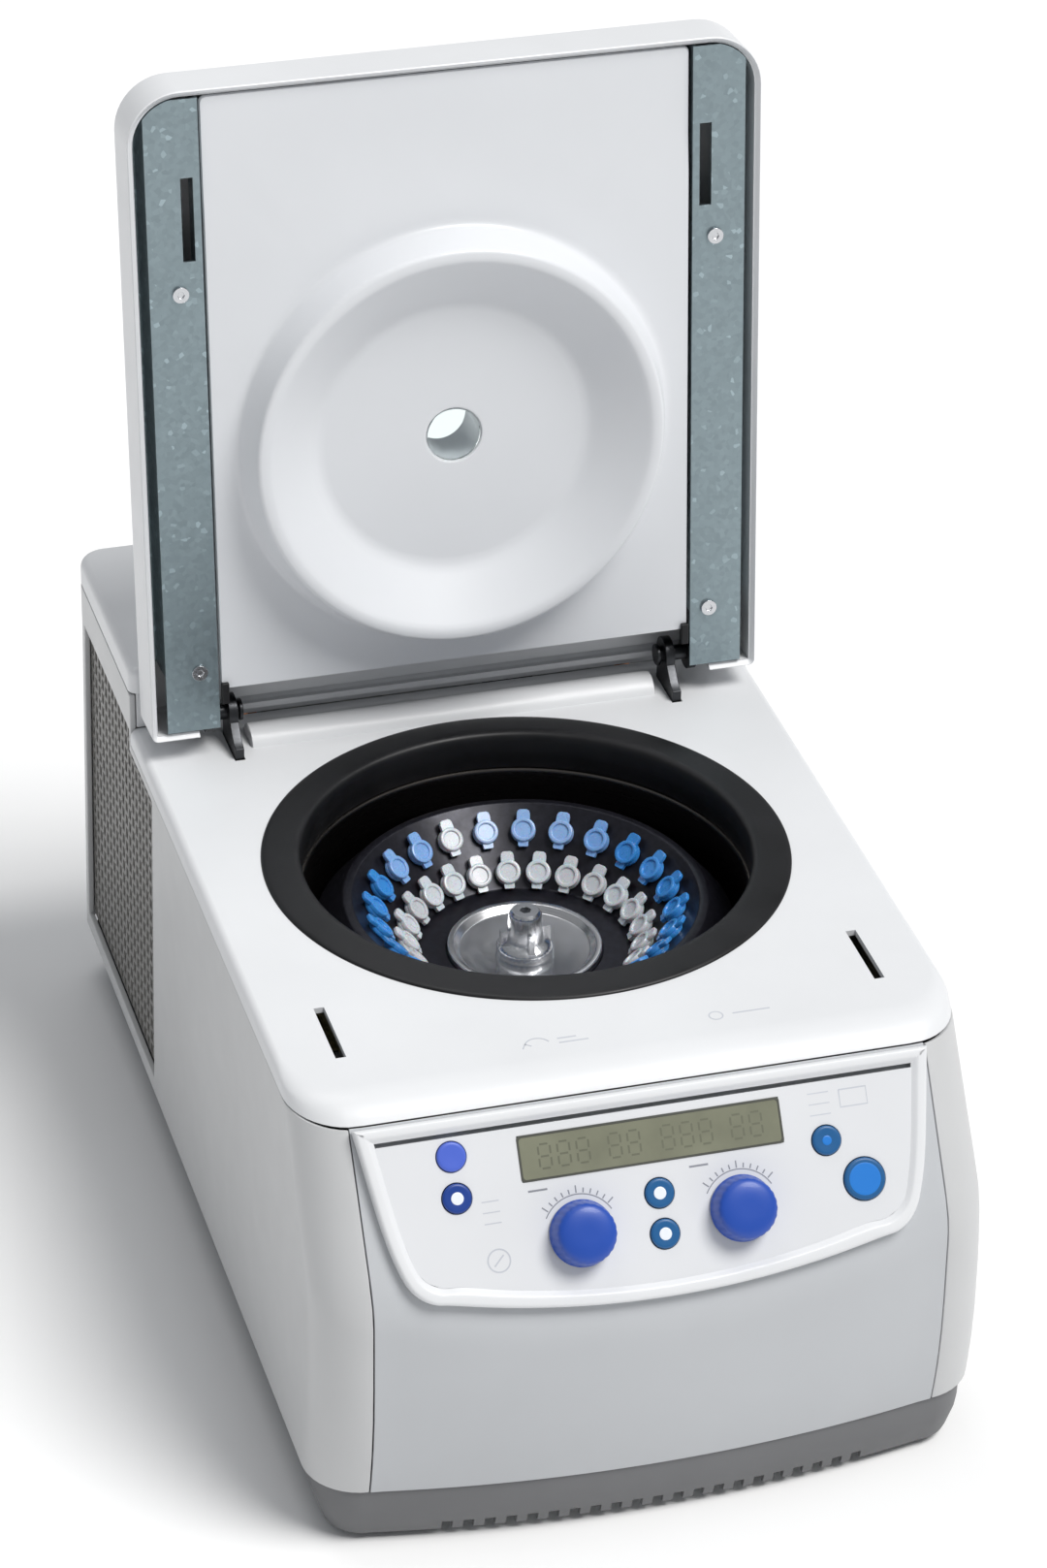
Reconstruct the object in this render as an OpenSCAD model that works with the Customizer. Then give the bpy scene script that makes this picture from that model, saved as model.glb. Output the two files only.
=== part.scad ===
// Refrigerated bench-top laboratory centrifuge with a 48-place fixed-angle rotor.
// Origin: centre of the footprint on the table. +X is the operator's right,
// -Y is the front, +Z is up. The lid is drawn fully open.

/* [Casing] */
// Width of the casing at the top cover
body_w = 319; // [314:1:324]
// Flare of each side wall from the top cover to the foot
flare = 2.8; // [0:0.2:4]
// Depth of the casing
body_d = 540; // [536:1:544]
// Height of the flat top cover
deck_z = 220.5; // [219:0.5:221]
// Height of the raised rear housing
rear_z = 254; // [252:1:258]
// Wall thickness of covers and panels
wall = 3; // [2.5:0.5:4]
// Radius of the front corners
corner_r = 28; // [24:1:34]
// Radius of the slightly bowed front
crown_r = 700; // [650:10:1200]

/* [Lid] */
// Width of the lid
lid_w = 312; // [306:1:316]
// Thickness of the lid
lid_t = 32; // [30:1:33]
// Length of the lid in front of its hinge axis
lid_l = 330; // [322:1:332]
// Radius of the lid's front corners
lid_corner_r = 26; // [20:1:32]
// Angle through which the lid opens
lid_open = 94.75; // [85:0.25:95]

/* [Control panel] */
// Angle between the control panel and the table
panel_tilt = 56.8; // [55:0.2:58]
// Diameter of the two setting knobs
knob_d = 31; // [26:1:33]
// Height of the setting knobs
knob_h = 14; // [11:1:14]
// Radius of the small keys
key_r = 6.8; // [5.5:0.1:7]

/* [Rotor] */
// Tubes in each of the two rows
tubes_per_row = 24; // [20:1:24]
// Radius of the outer row at the tube collars
outer_row_r = 74; // [73:0.5:75]
// Radius of the inner row at the tube collars
inner_row_r = 59; // [58:0.5:60]
// Diameter of a sample tube
tube_d = 10.8; // [10:0.1:11]
// Length of a sample tube below its collar
tube_l = 36; // [34:1:36]

/* [Hidden] */
$fn = 96;
eps = 0.01;

// Casing
hw = body_w / 2;
foot_hw = hw + flare;
front_y = -body_d / 2;
rear_y = body_d / 2;
bowl_y = -22;                    // centre of chamber, rotor and motor
seam_x = 137;                    // half width of the front panel
seam_gap = 0.6;
shell_bottom = 33;               // joint between casing and skirt
cover_edge_z = 211.5;            // lower edge of the top cover
rear_front_y = 140;              // front wall of the raised rear housing
rear_split_z = 240;              // joint between side walls and rear cover
rear_open_x = 141;               // half width of the opening in the back
rear_corner_r = 14;
grille_y0 = 92;
grille_y1 = 252;
inlet_x = 12;
inlet_z = 65;
panel_y = -217;                  // upper edge of the control panel
panel_z = 211;
tray_t = 4;                      // thickness of the tray under the panel face
foot_h = 10;
skirt_bottom = 4;

// Latches
slot_x = 129.3;
slot_w = 5;
slot_y0 = -168.5;
slot_y1 = -126.5;
hook_y = -141;
hook_z = 197;

// Lid and hinge
hinge_y = 118.5;
hinge_z = 237;
rim_z = rear_z - lid_t;          // underside of the closed lid
lid_hw = lid_w / 2;
lid_front = hinge_y - lid_l;
lid_back = hinge_y + 5.5;
lid_wall = 3;
liner_z = rim_z + 1.5;
rail_x0 = 121.5;
rail_x1 = 148;
rail_slot_x = 128;
pin_r = 4;
run_gap = 0.05;
sector_gap = 0.1;                // hairline between the rotor ring's sectors
ear_x = 111;                     // inner face of the fixed hinge ears
ear_t = 4.6;

// Chamber
bowl_r = 107.4;
gasket_r = 128;
cover_hole_r = 124;
bowl_top = 203;

// Drive and rotor
shaft_r = 8;
stud_r = 5;
hub_r = 38;
hub_z = 166;                     // flat around the hub, foot of the tube cone
cone_c = 113;                    // tube cone: height = radius + cone_c
rotor_r = 102.5;
hole_r = tube_d / 2 + 0.2;
sample_angle = 105;
fan_x = 66;
fan_y = 204;
fan_z = 112;
fan_r = 41;

// ---------------------------------------------------------------- helpers

module block(x0, x1, y0, y1, z0, z1) {
  translate([x0, y0, z0]) cube([x1 - x0, y1 - y0, z1 - z0]);
}

module post(x, y, z0, z1, r) {
  translate([x, y, z0]) cylinder(r = r, h = z1 - z0);
}

module ring(r_in, r_out, z0, z1) {
  difference() {
    translate([0, 0, z0]) cylinder(r = r_out, h = z1 - z0);
    translate([0, 0, z0 - 1]) cylinder(r = r_in, h = z1 - z0 + 2);
  }
}

module both_sides() {
  children();
  mirror([1, 0, 0]) children();
}

module rod_x(x0, x1, y, z, r) {
  translate([x0, y, z]) rotate([0, 90, 0]) cylinder(r = r, h = x1 - x0);
}

module rod_y(x, y0, y1, z, r) {
  translate([x, y1, z]) rotate([90, 0, 0]) cylinder(r = r, h = y1 - y0);
}

// Outline in Y and Z, extruded along X.
module side_profile(points, x0, x1) {
  translate([x0, 0, 0]) rotate([90, 0, 90]) linear_extrude(x1 - x0)
    polygon(points);
}

// Outline in X and Z, extruded along the whole depth.
module front_profile(points) {
  translate([0, rear_y + 1, 0]) rotate([90, 0, 0]) linear_extrude(body_d + 2)
    polygon(points);
}

module at_bowl() {
  translate([0, bowl_y, 0]) children();
}

module rounded_plan(x0, x1, y0, y1, r_front, r_back) {
  for (c = [[x0, 1], [x1, -1]]) {
    translate([c[0] + c[1] * r_front, y0 + r_front]) circle(r = r_front);
    translate([c[0] + c[1] * r_back, y1 - r_back]) circle(r = r_back);
  }
  translate([x0, y0 + r_front]) square([x1 - x0, y1 - y0 - r_front - r_back]);
  translate([x0 + r_front, y0]) square([x1 - x0 - 2 * r_front, r_front + 1]);
  translate([x0 + r_back, y1 - r_back - 1])
    square([x1 - x0 - 2 * r_back, r_back + 1]);
}

// Plan of the casing, set in from the outside by a wall thickness.
module plan(inset) {
  straight = foot_hw - corner_r;
  drop = crown_r - sqrt(pow(crown_r, 2) - pow(straight, 2));
  rounded_plan(-foot_hw + inset, foot_hw - inset, front_y + drop + inset,
               rear_y - inset, corner_r - inset, rear_corner_r - inset / 2);
  intersection() {
    translate([0, front_y + crown_r]) circle(r = crown_r - inset, $fn = 180);
    translate([-straight, front_y]) square([2 * straight, 60]);
  }
}

// Side view of the casing in front of the rear housing.
function casing_side(i) = [
  [front_y + 8 + i, shell_bottom - i], [front_y + 1.5 + i, 70],
  [front_y + i, 100], [front_y + i, 122.6 - 0.5 * i],
  [-213.7 + 0.8 * i, 208.8 - 0.5 * i],
  for (a = [35:11:90])
    [-191.5 + i * 0.4 - (25 - i * 0.6) * cos(a),
     deck_z - i - (25 - i * 0.6) * (1 - sin(a))],
  [rear_y - i, deck_z - i], [rear_y - i, shell_bottom - i]];

// Everything behind the sloped front, whose corners are rounded like the
// vertical ones below it.
module slope_prism(i) {
  x = foot_hw - i;
  r = corner_r - i;
  on_panel() translate([0, 300, -tray_t - i]) rotate([90, 0, 0])
    linear_extrude(800) {
      translate([-x, -700]) square([2 * x, 700 - r]);
      translate([r - x, -700]) square([2 * (x - r), 700]);
      for (s = [-1, 1]) translate([s * (x - r), -r]) circle(r = r);
    }
}

module casing_solid(i) {
  intersection() {
    slope_prism(i);
    translate([0, 0, shell_bottom - i]) linear_extrude(deck_z + 2 - shell_bottom)
      plan(i);
    side_profile(casing_side(i), -foot_hw - 1, foot_hw + 1);
    front_profile([[-foot_hw + i, 0], [-foot_hw + i, shell_bottom],
                   [-hw + i, deck_z], [hw - i, deck_z],
                   [foot_hw - i, shell_bottom], [foot_hw - i, 0]]);
  }
}

module casing_skin() {
  difference() {
    casing_solid(0);
    casing_solid(wall);
  }
}

// Places its children on the control panel: X right, Y up the panel, Z out.
module on_panel() {
  translate([0, panel_y, panel_z]) rotate([panel_tilt, 0, 0]) children();
}

// Tray outline: straight top, leaning sides and a curved lower edge.
function tray_edge(i) = [
  [136 - i, i == 0 ? 2 : -i], [128.7 - i, -43], [123 - i, -65],
  [118.5 - i, -73.5 + i * 0.5], [112 - i, -79 + i * 0.8],
  for (x = [102:-12:0]) [x - i * x / 110, -93 + i + 12 * pow(x / 102, 2)]];

module tray_plan(i) {
  right = tray_edge(i);
  left = [for (k = [len(right) - 1:-1:0]) [-right[k][0], right[k][1]]];
  polygon(concat(right, left));
}

// Keys: [x, distance down the panel, radius]
temp_up_at = [-93, 15.6, key_r];
temp_down_at = [-93, 34.5, key_r];
program_at = [0.5, 46, key_r];
short_at = [0.5, 64.6, key_r];
lid_key_at = [82, 34, key_r];
start_at = [97.5, 54, key_r + 3];
keys = [temp_up_at, temp_down_at, program_at, short_at, lid_key_at, start_at];
knob_x = 38;
knob_s = 58.5;

module panel_cuts(z0, z1, gap) {
  for (k = keys)
    translate([k[0], -k[1], z0]) cylinder(r = k[2] + gap, h = z1 - z0);
  for (x = [-knob_x, knob_x])
    translate([x, -knob_s, z0]) cylinder(r = 4, h = z1 - z0);
}

module key(k) {
  color("royalblue") on_panel() translate([k[0], -k[1], 0]) {
    translate([0, 0, -4]) cylinder(r = k[2], h = 5.2);
    translate([0, 0, 1.2]) cylinder(r1 = k[2], r2 = k[2] - 0.8, h = 0.8);
    translate([0, 0, -8.5]) cylinder(r = 2, h = 5);
  }
}

module knob(x) {
  color("mediumblue") on_panel() translate([x, -knob_s, 0]) {
    rotate_extrude() polygon([
      [0, 3.5], [0, knob_h - 0.6], [knob_d / 2 - 4.5, knob_h - 0.4],
      [knob_d / 2 - 2.2, knob_h - 1.6], [knob_d / 2 - 0.6, 5],
      [knob_d / 2, 1.2], [knob_d / 2 - 1.5, 1.2], [knob_d / 2 - 2.5, 3.5]]);
    for (a = [0:20:359])
      rotate([0, 0, a]) translate([knob_d / 2 - 1.4, 0, 2.5])
        cylinder(r = 0.9, h = 5, $fn = 24);
    translate([0, 0, -11.5]) cylinder(r = 3, h = 16);
  }
}

// Puts a closed lid's pieces in the open place.
module lid_place() {
  translate([0, hinge_y, hinge_z]) rotate([-lid_open, 0, 0])
    translate([0, -hinge_y, -hinge_z]) children();
}

// One tube: collar, cap and tapered body, with its collar at the origin.
module tube() {
  r = tube_d / 2;
  rotate_extrude($fn = 48) polygon([
    [0, -tube_l], [1.6, -tube_l], [2.3, -tube_l + 1], [r - 0.25, -17],
    [r, -15], [r, 0.7], [6.3, 0.9], [6.3, 2.3], [6, 2.5], [6, 4.4],
    [5.2, 5], [0, 5]]);
  // Thumb tab on one side of the cap, and its hinge strap on the other.
  translate([0, 0, 2.6]) intersection() {
    translate([-3.4, 0, 0]) cube([6.8, 10.4, 2]);
    cylinder(r = 10.4, h = 2);
  }
  translate([-2.6, -8.4, 1.4]) cube([5.2, 8.4, 2]);
}

module in_row(r, a) {
  rotate([0, 0, a]) translate([r, 0, r + cone_c]) rotate([0, -45, 0])
    rotate([0, 0, -90]) children();
}

// ---------------------------------------------------------------- casing

module base_pan() {
  color("lightgray") difference() {
    union() {
      translate([0, 0, foot_h]) linear_extrude(3) plan(12);
      difference() {
        translate([0, 0, foot_h]) linear_extrude(18) plan(12);
        translate([0, 0, foot_h - 1]) linear_extrude(20) plan(13.5);
      }
    }
    for (x = [-90:20:90]) block(x - 6, x + 6, -236, -206, 5, 20);
  }
}

module skirt() {
  color("dimgray") difference() {
    union() {
      translate([0, 0, skirt_bottom]) linear_extrude(6) plan(9.5);
      translate([0, 0, 9]) linear_extrude(8) plan(7);
      translate([0, 0, 16]) linear_extrude(shell_bottom - 16) plan(4.5);
    }
    translate([0, 0, -1]) linear_extrude(50) plan(12);
    for (x = [-100:10:100]) block(x - 2.5, x + 2.5, -300, -200, 0, 10);
  }
}

module feet() {
  color("black") for (x = [-118, 118], y = [-196, 214]) {
    post(x, y, 0, 3, 15);
    post(x, y, 3, foot_h, 12);
  }
}

module housing_shell() {
  color("gainsboro") difference() {
    intersection() {
      casing_skin();
      block(-foot_hw - 1, foot_hw + 1, front_y, rear_y, shell_bottom,
            cover_edge_z - seam_gap);
    }
    block(-seam_x, seam_x, front_y - 1, -190, 0, 300);
    block(-rear_open_x, rear_open_x, rear_y - 10, rear_y + 1, 0, 300);
    block(-foot_hw - 1, foot_hw + 1, grille_y0, grille_y1, 42, 206);
    block(-foot_hw - 1, foot_hw + 1, rear_front_y + 4, grille_y1, 205, 300);
  }
  color("gainsboro") difference() {
    translate([0, 0, cover_edge_z - seam_gap - eps])
      linear_extrude(rear_split_z - cover_edge_z)
        rounded_plan(-hw, hw, rear_front_y + 0.5, rear_y, 2, rear_corner_r);
    translate([0, 0, 200]) linear_extrude(60)
      rounded_plan(-hw + wall, hw - wall, rear_front_y - 9, rear_y - wall, 2,
                   rear_corner_r - wall / 2);
    block(-rear_open_x, rear_open_x, rear_y - 10, rear_y + 1, 0, 300);
    block(-hw - 1, hw + 1, rear_front_y + 4, grille_y1, 200, 218);
  }
}

// Opening behind the control panel for keys and circuit board.
module panel_window() {
  on_panel() translate([-112, -79, -16]) cube([224, 71, 18]);
}

// Front of the casing between the seams, where it has no rounded corners.
module bowed_front(i) {
  intersection() {
    translate([0, front_y + crown_r, shell_bottom - i])
      cylinder(r = crown_r - i, h = deck_z - shell_bottom, $fn = 180);
    side_profile(casing_side(i), -seam_x, seam_x);
  }
}

module front_panel() {
  color("silver") difference() {
    intersection() {
      bowed_front(0);
      block(-seam_x + seam_gap, seam_x - seam_gap, front_y - 1, -190,
            shell_bottom, cover_edge_z - seam_gap);
    }
    bowed_front(wall);
    panel_window();
  }
}

module top_cover() {
  color("whitesmoke") difference() {
    intersection() {
      casing_skin();
      block(-foot_hw, foot_hw, front_y, rear_front_y, cover_edge_z, 300);
    }
    post(0, bowl_y, 100, 300, cover_hole_r);
    both_sides() {
      block(slot_x - slot_w / 2, slot_x + slot_w / 2, slot_y0, slot_y1,
            100, 300);
      block(ear_x - 0.4, ear_x + ear_t + 0.4, 97, 128, 100, 300);
    }
  }
}

module rear_cover() {
  h = rear_z - rear_split_z;
  color("whitesmoke")
    block(-hw + wall + 0.3, hw - wall - 0.3, rear_front_y + 0.4,
          rear_front_y + wall, deck_z + 0.2, rear_split_z + 1);
  color("whitesmoke") difference() {
    union() {
      translate([0, 0, rear_split_z]) linear_extrude(h - 4)
        rounded_plan(-hw, hw, rear_front_y, rear_y, 4, rear_corner_r);
      translate([0, 0, rear_z - 4 - eps]) linear_extrude(2.5)
        rounded_plan(-hw + 1.4, hw - 1.4, rear_front_y + 1, rear_y - 1.4, 4,
                     rear_corner_r);
      translate([0, 0, rear_z - 2]) linear_extrude(2)
        rounded_plan(-hw + 4, hw - 4, rear_front_y + 3, rear_y - 4, 4,
                     rear_corner_r);
    }
    translate([0, 0, rear_split_z - 1]) linear_extrude(h + 1 - wall)
      rounded_plan(-hw + wall, hw - wall, rear_front_y + wall, rear_y - wall,
                   4, rear_corner_r - 2);
  }
}

module side_grilles() {
  lean = atan(flare / (deck_z - shell_bottom));
  color("dimgray") both_sides()
    translate([foot_hw - wall - 0.2, 0, shell_bottom]) rotate([0, -lean, 0])
      translate([-1.2, 0, 0]) rotate([90, 0, 90]) linear_extrude(1.2)
        difference() {
          translate([grille_y0 - 4, 5]) square([grille_y1 - grille_y0 + 7, 172]);
          translate([rear_front_y + 1, 150])
            square([grille_y1 - rear_front_y + 2, 38]);
          for (y = [grille_y0 + 5:10:grille_y1 - 5], z = [14:10:165])
            translate([y - 3.4, z - 3.2]) square([6.8, 6.4]);
        }
  color("dimgray") both_sides() translate([hw - wall - 1.3, 0, 0])
    rotate([90, 0, 90]) linear_extrude(1.2) difference() {
      translate([rear_front_y + 3.4, 184])
        square([grille_y1 - rear_front_y - 2, 38]);
      for (y = [rear_front_y + 9:10:grille_y1 - 5], z = [190:10:212])
        translate([y - 3.4, z - 3.2]) square([6.8, 6.4]);
    }
}

module rear_panel() {
  color("lightgray") difference() {
    block(-146, 146, rear_y - 6, rear_y - 4, shell_bottom + 0.5,
          rear_split_z - 1);
    block(inlet_x - 24, inlet_x + 24, rear_y - 10, rear_y, 48, 82);
    for (x = [-100:16:20], z = [120:20:200])
      block(x - 5, x + 5, rear_y - 10, rear_y, z - 3, z + 3);
    for (x = [-136, 136], z = [42, 130, 218])
      rod_y(x, rear_y - 10, rear_y, z, 2.2);
  }
  color("silver") for (x = [-136, 136], z = [42, 130, 218]) {
    rod_y(x, rear_y - 9, rear_y - 3.9, z, 2);
    rod_y(x, rear_y - 4, rear_y - 2.2, z, 3.6);
  }
}

module power_inlet() {
  translate([inlet_x, 0, inlet_z]) inlet_body();
}

module inlet_body() {
  color("black") difference() {
    union() {
      block(-23.6, 23.6, rear_y - 30, rear_y - 4, -16.6, 16.6);
      block(-27, 27, rear_y - 4, rear_y - 1, -20, 20);
    }
    block(-21, 3, rear_y - 22, rear_y, -9, 9);
    block(7, 21, rear_y - 24, rear_y, -12, 12);
    rod_x(5.5, 22.5, rear_y - 8, 0, 1.5);
  }
  color("silver") for (p = [[-15, 0], [-9, 4], [-3, 0]])
    block(p[0] - 1, p[0] + 1, rear_y - 25, rear_y - 8, p[1] - 2, p[1] + 2);
}

module power_rocker() {
  color("green") translate([inlet_x, rear_y - 8, inlet_z]) rotate([-8, 0, 0]) {
    rod_x(5.6, 22.4, 0, 0, 1.45);
    difference() {
      intersection() {
        rod_x(7.5, 20.5, 0, 0, 10.5);
        block(7.5, 20.5, -6, 7.6, -15, 15);
      }
      rod_x(6, 22, 36, 0, 29.5);
    }
  }
}

// ---------------------------------------------------------------- hinge

module hinge_brackets() {
  color("silver") both_sides() difference() {
    union() {
      side_profile([[98, 208], [126, 208], [126, 226], [hinge_y + 7, hinge_z],
                    [hinge_y - 7, hinge_z], [103, 228], [98, 226]],
                   ear_x, ear_x + ear_t);
      rod_x(ear_x, ear_x + ear_t, hinge_y, hinge_z, 9);
      block(ear_x - 10, ear_x + ear_t, 100, 124, 206, 208);
    }
    rod_x(ear_x - 1, ear_x + ear_t + 1, hinge_y, hinge_z, pin_r);
  }
}

module hinge_pins() {
  color("gray") both_sides() {
    rod_x(ear_x - 1.5, 130, hinge_y, hinge_z, pin_r);
    rod_x(ear_x - 3.5, ear_x - 1.5, hinge_y, hinge_z, 5.5);
  }
}

module hinge_strip() {
  color("whitesmoke") intersection() {
    rod_x(-105, 105, 117, 216.5, 11.2);
    block(-106, 106, 100, 127, deck_z, 240);
  }
}

module lid_shell() {
  color("whitesmoke") lid_place() difference() {
    union() {
      translate([0, 0, rim_z]) linear_extrude(lid_t - 4)
        rounded_plan(-lid_hw, lid_hw, lid_front, lid_back, lid_corner_r, 3);
      translate([0, 0, rear_z - 4 - eps]) linear_extrude(2.5)
        rounded_plan(-lid_hw + 1.4, lid_hw - 1.4, lid_front + 1.4,
                     lid_back - 0.6, lid_corner_r, 3);
      translate([0, 0, rear_z - 2]) linear_extrude(2)
        rounded_plan(-lid_hw + 4, lid_hw - 4, lid_front + 4, lid_back - 2,
                     lid_corner_r, 3);
    }
    translate([0, 0, rim_z - 1]) linear_extrude(lid_t + 1 - lid_wall)
      rounded_plan(-lid_hw + lid_wall, lid_hw - lid_wall,
                   lid_front + lid_wall, lid_back - lid_wall,
                   lid_corner_r - lid_wall, 2);
    block(-132, 132, lid_back - 6, lid_back + 1, rim_z - 1, 247);
    post(0, bowl_y, 230, 270, 15);
  }
}

module lid_liner() {
  color("white") lid_place() difference() {
    union() {
      difference() {
        block(-120.5, 120.5, lid_front + lid_wall + 1, 110, liner_z,
              liner_z + 2.5);
        post(0, bowl_y, 200, 240, 105);
      }
      at_bowl() rotate_extrude($fn = 144) polygon([
        [13.5, rear_z - lid_wall - 0.3], [13.5, 221.5], [68, 221.5],
        [95, 204.4], [97, 203.5], [100.5, 203.5], [102.2, 204.6],
        [107, liner_z], [107, liner_z + 2.5], [104, liner_z + 2.5],
        [99.4, 206.5], [97.6, 206.3], [69, 224.2], [16, 224.2],
        [16, rear_z - lid_wall - 0.3]]);
    }
    block(-110, 110, 100, 130, 200, 240);
    both_sides() block(110 - eps, 116.2, 94, 130, 200, 240);
  }
}

module rail() {
  y0 = lid_front + 4;
  difference() {
    intersection() {
      union() {
        block(rail_x0, rail_x1, y0, 120, rim_z + 0.5, rim_z + 2);
        block(rail_x0, rail_x0 + 1.5, y0, 90, rim_z + 0.5, rim_z + 20);
        block(rail_x1 - 1.5, rail_x1, y0, 90, rim_z + 0.5, rear_z - 8);
        block(rail_x1 - 1.5, rail_x1 + 4, y0, 90, rear_z - 9.5, rear_z - 8);
      }
      translate([0, 0, rim_z]) linear_extrude(lid_t)
        rounded_plan(-lid_hw + 3.4, lid_hw - 3.4, lid_front + 3.4, 130,
                     lid_corner_r - 3.4, 2);
    }
    block(rail_slot_x - 3, rail_slot_x + 3, slot_y0, slot_y1, 200, 230);
    post(133, hinge_y - 229, 200, 230, 2.2);
    post(131, hinge_y - 30, 200, 230, 2.2);
  }
}

module left_rail() {
  color("lightsteelblue") lid_place() mirror([1, 0, 0]) rail();
}

module right_rail() {
  color("lightsteelblue") lid_place() rail();
}

module lid_screws() {
  color("silver") lid_place() both_sides()
    for (p = [[133, hinge_y - 229], [131, hinge_y - 30]]) difference() {
      union() {
        post(p[0], p[1], rim_z - 1.1, rim_z + 0.5, 4);
        post(p[0], p[1], rim_z + 0.4, rim_z + 9, 2);
      }
      translate([p[0], p[1], rim_z - 2]) cylinder(r = 1.8, h = 1.8, $fn = 6);
    }
}

module lid_bumpers() {
  color("black") lid_place() both_sides()
    block(116.6, 120.4, 96, 107, rim_z - 1, liner_z);
}

module window_glass() {
  color("lightcyan", 0.4) lid_place() at_bowl() {
    translate([0, 0, rear_z - 2.8]) cylinder(r = 14.9, h = 2.4);
    translate([0, 0, 221.8]) cylinder(r = 13.4, h = 2);
  }
}

module hinge_arms() {
  color("gray") lid_place() both_sides() difference() {
    union() {
      side_profile([[hinge_y, hinge_z - 9], [hinge_y, hinge_z + 9],
                    [70, rear_z - 12], [40, 236], [40, rim_z + 2.1],
                    [hinge_y - 8, rim_z + 2.1]], 123.2, 127.2);
      rod_x(123.2, 127.2, hinge_y, hinge_z, 9);
      block(127, 140, 40, 106, rim_z + 2.05, rim_z + 4.5);
    }
    rod_x(120, 130, hinge_y, hinge_z, pin_r + run_gap);
    post(131, hinge_y - 30, 200, 260, 2.2);
  }
}

// ---------------------------------------------------------------- controls

module control_tray() {
  color("white") on_panel() difference() {
    translate([0, 0, 0.1 - tray_t]) linear_extrude(tray_t + 2.4) tray_plan(0);
    linear_extrude(10) tray_plan(6);
    translate([-62, -32, -10]) cube([124, 21, 20]);
    panel_cuts(-10, 10, 0.4);
  }
}

module panel_foil() {
  color("ghostwhite") on_panel() difference() {
    linear_extrude(0.6) tray_plan(6.8);
    translate([-62, -32, -10]) cube([124, 21, 20]);
    panel_cuts(-1, 2, 0.4);
  }
}

module display_lens() {
  color("darkkhaki", 0.8) on_panel()
    translate([-61.7, -31.7, -1.4]) cube([123.4, 20.4, 2.2]);
}

module control_board() {
  color("darkgreen") on_panel() difference() {
    union() {
      translate([-108, -76, -14]) cube([216, 66, 1.6]);
      translate([-60, -30.5, -12.5]) cube([120, 18, 10.9]);
      for (x = [-knob_x, knob_x])
        translate([x - 7, -knob_s - 7, -12.5]) cube([14, 14, 7.3]);
      for (k = keys)
        translate([k[0] - 3, -k[1] - 3, -12.5]) cube([6, 6, 2.3]);
      for (x = [-104, 104], y = [-14, -72])
        translate([x, y, -12.5]) cylinder(r = 3, h = 12.5 - tray_t);
    }
    for (x = [-knob_x, knob_x]) translate([x, -knob_s, -11.9])
      cylinder(r = 3 + run_gap, h = 10);
  }
}

module time_knob() { knob(-knob_x); }
module speed_knob() { knob(knob_x); }
module temp_up_key() { key(temp_up_at); }
module temp_down_key() { key(temp_down_at); }
module program_key() { key(program_at); }
module short_key() { key(short_at); }
module lid_key() { key(lid_key_at); }
module start_key() { key(start_at); }

// ---------------------------------------------------------------- chamber

module chamber_gasket() {
  color("black") at_bowl() rotate_extrude($fn = 144) polygon([
    [gasket_r, deck_z], [gasket_r - 0.6, deck_z + 1],
    [gasket_r - 3, deck_z + 1.6], [116, deck_z + 2.4], [111, deck_z + 2.6],
    [109.2, deck_z + 1.6], [108.2, deck_z - 1.5], [108.2, 213], [109, 209],
    [109, bowl_top], [112, bowl_top], [112, 208], [114, 213.4],
    [118, deck_z - wall], [cover_hole_r - 0.2, deck_z - wall],
    [cover_hole_r - 0.2, deck_z]]);
}

module chamber_bowl() {
  color("silver") at_bowl() rotate_extrude($fn = 144) polygon([
    [22.6, 101.5], [31, 101.5], [43, 87], [103, 87], [bowl_r, 91.5],
    [bowl_r, bowl_top], [114, bowl_top], [114, bowl_top - 1.5],
    [bowl_r + 1.5, bowl_top - 1.5], [bowl_r + 1.5, 90.9], [103.6, 85.5],
    [42.3, 85.5], [30.3, 100], [22.6, 100]]);
}

module chamber_insulation() {
  color("khaki") at_bowl() {
    ring(116.2, 132, 78, 200);
    ring(47, 132, 70, 78);
  }
}

module cooling_coil() {
  color("peru") at_bowl() for (z = [100:15:190])
    rotate_extrude() translate([112.5, z]) circle(r = 3.3, $fn = 32);
}

module motor_housing() {
  color("gray") at_bowl() difference() {
    union() {
      translate([0, 0, 24]) cylinder(r = 42, h = 56);
      translate([0, 0, 80 - eps]) cylinder(r = 22, h = 19);
      translate([0, 0, 22]) cylinder(r = 62, h = 4);
    }
    translate([0, 0, 37]) cylinder(r = 39, h = 37);
    translate([0, 0, 26]) cylinder(r = 15, h = 80);
    translate([0, 0, 24]) cylinder(r = 15, h = 80);
    for (a = [45:90:359]) rotate([0, 0, a]) post(54, 0, 20, 30, 2.6);
  }
}

module motor_stator() {
  color("peru") at_bowl() difference() {
    ring(27, 39, 40, 71);
    for (a = [0:30:359]) rotate([0, 0, a])
      block(26, 35, -2, 2, 39, 72);
  }
}

module motor_bearings() {
  color("silver") at_bowl() {
    ring(shaft_r + run_gap, 15, 26, 36);
    ring(shaft_r + run_gap, 15, 84, 94);
  }
}

module motor_dampers() {
  color("black") at_bowl() for (a = [45:90:359])
    rotate([0, 0, a]) {
      post(54, 0, 13, 22, 7);
      post(54, 0, 21.9, 28, 2.4);
      post(54, 0, 26, 29, 5);
    }
}

module drive_shaft() {
  color("silver") at_bowl() rotate_extrude() polygon([
    [0, 25], [shaft_r, 25], [shaft_r, 148], [shaft_r - 1.5, 150],
    [stud_r, 150], [stud_r, 176], [stud_r - 1, 177.5], [0, 177.5]]);
}

module motor_core() {
  color("dimgray") at_bowl() ring(shaft_r, 26.4, 41, 70);
}

// ---------------------------------------------------------------- rotor

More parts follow.
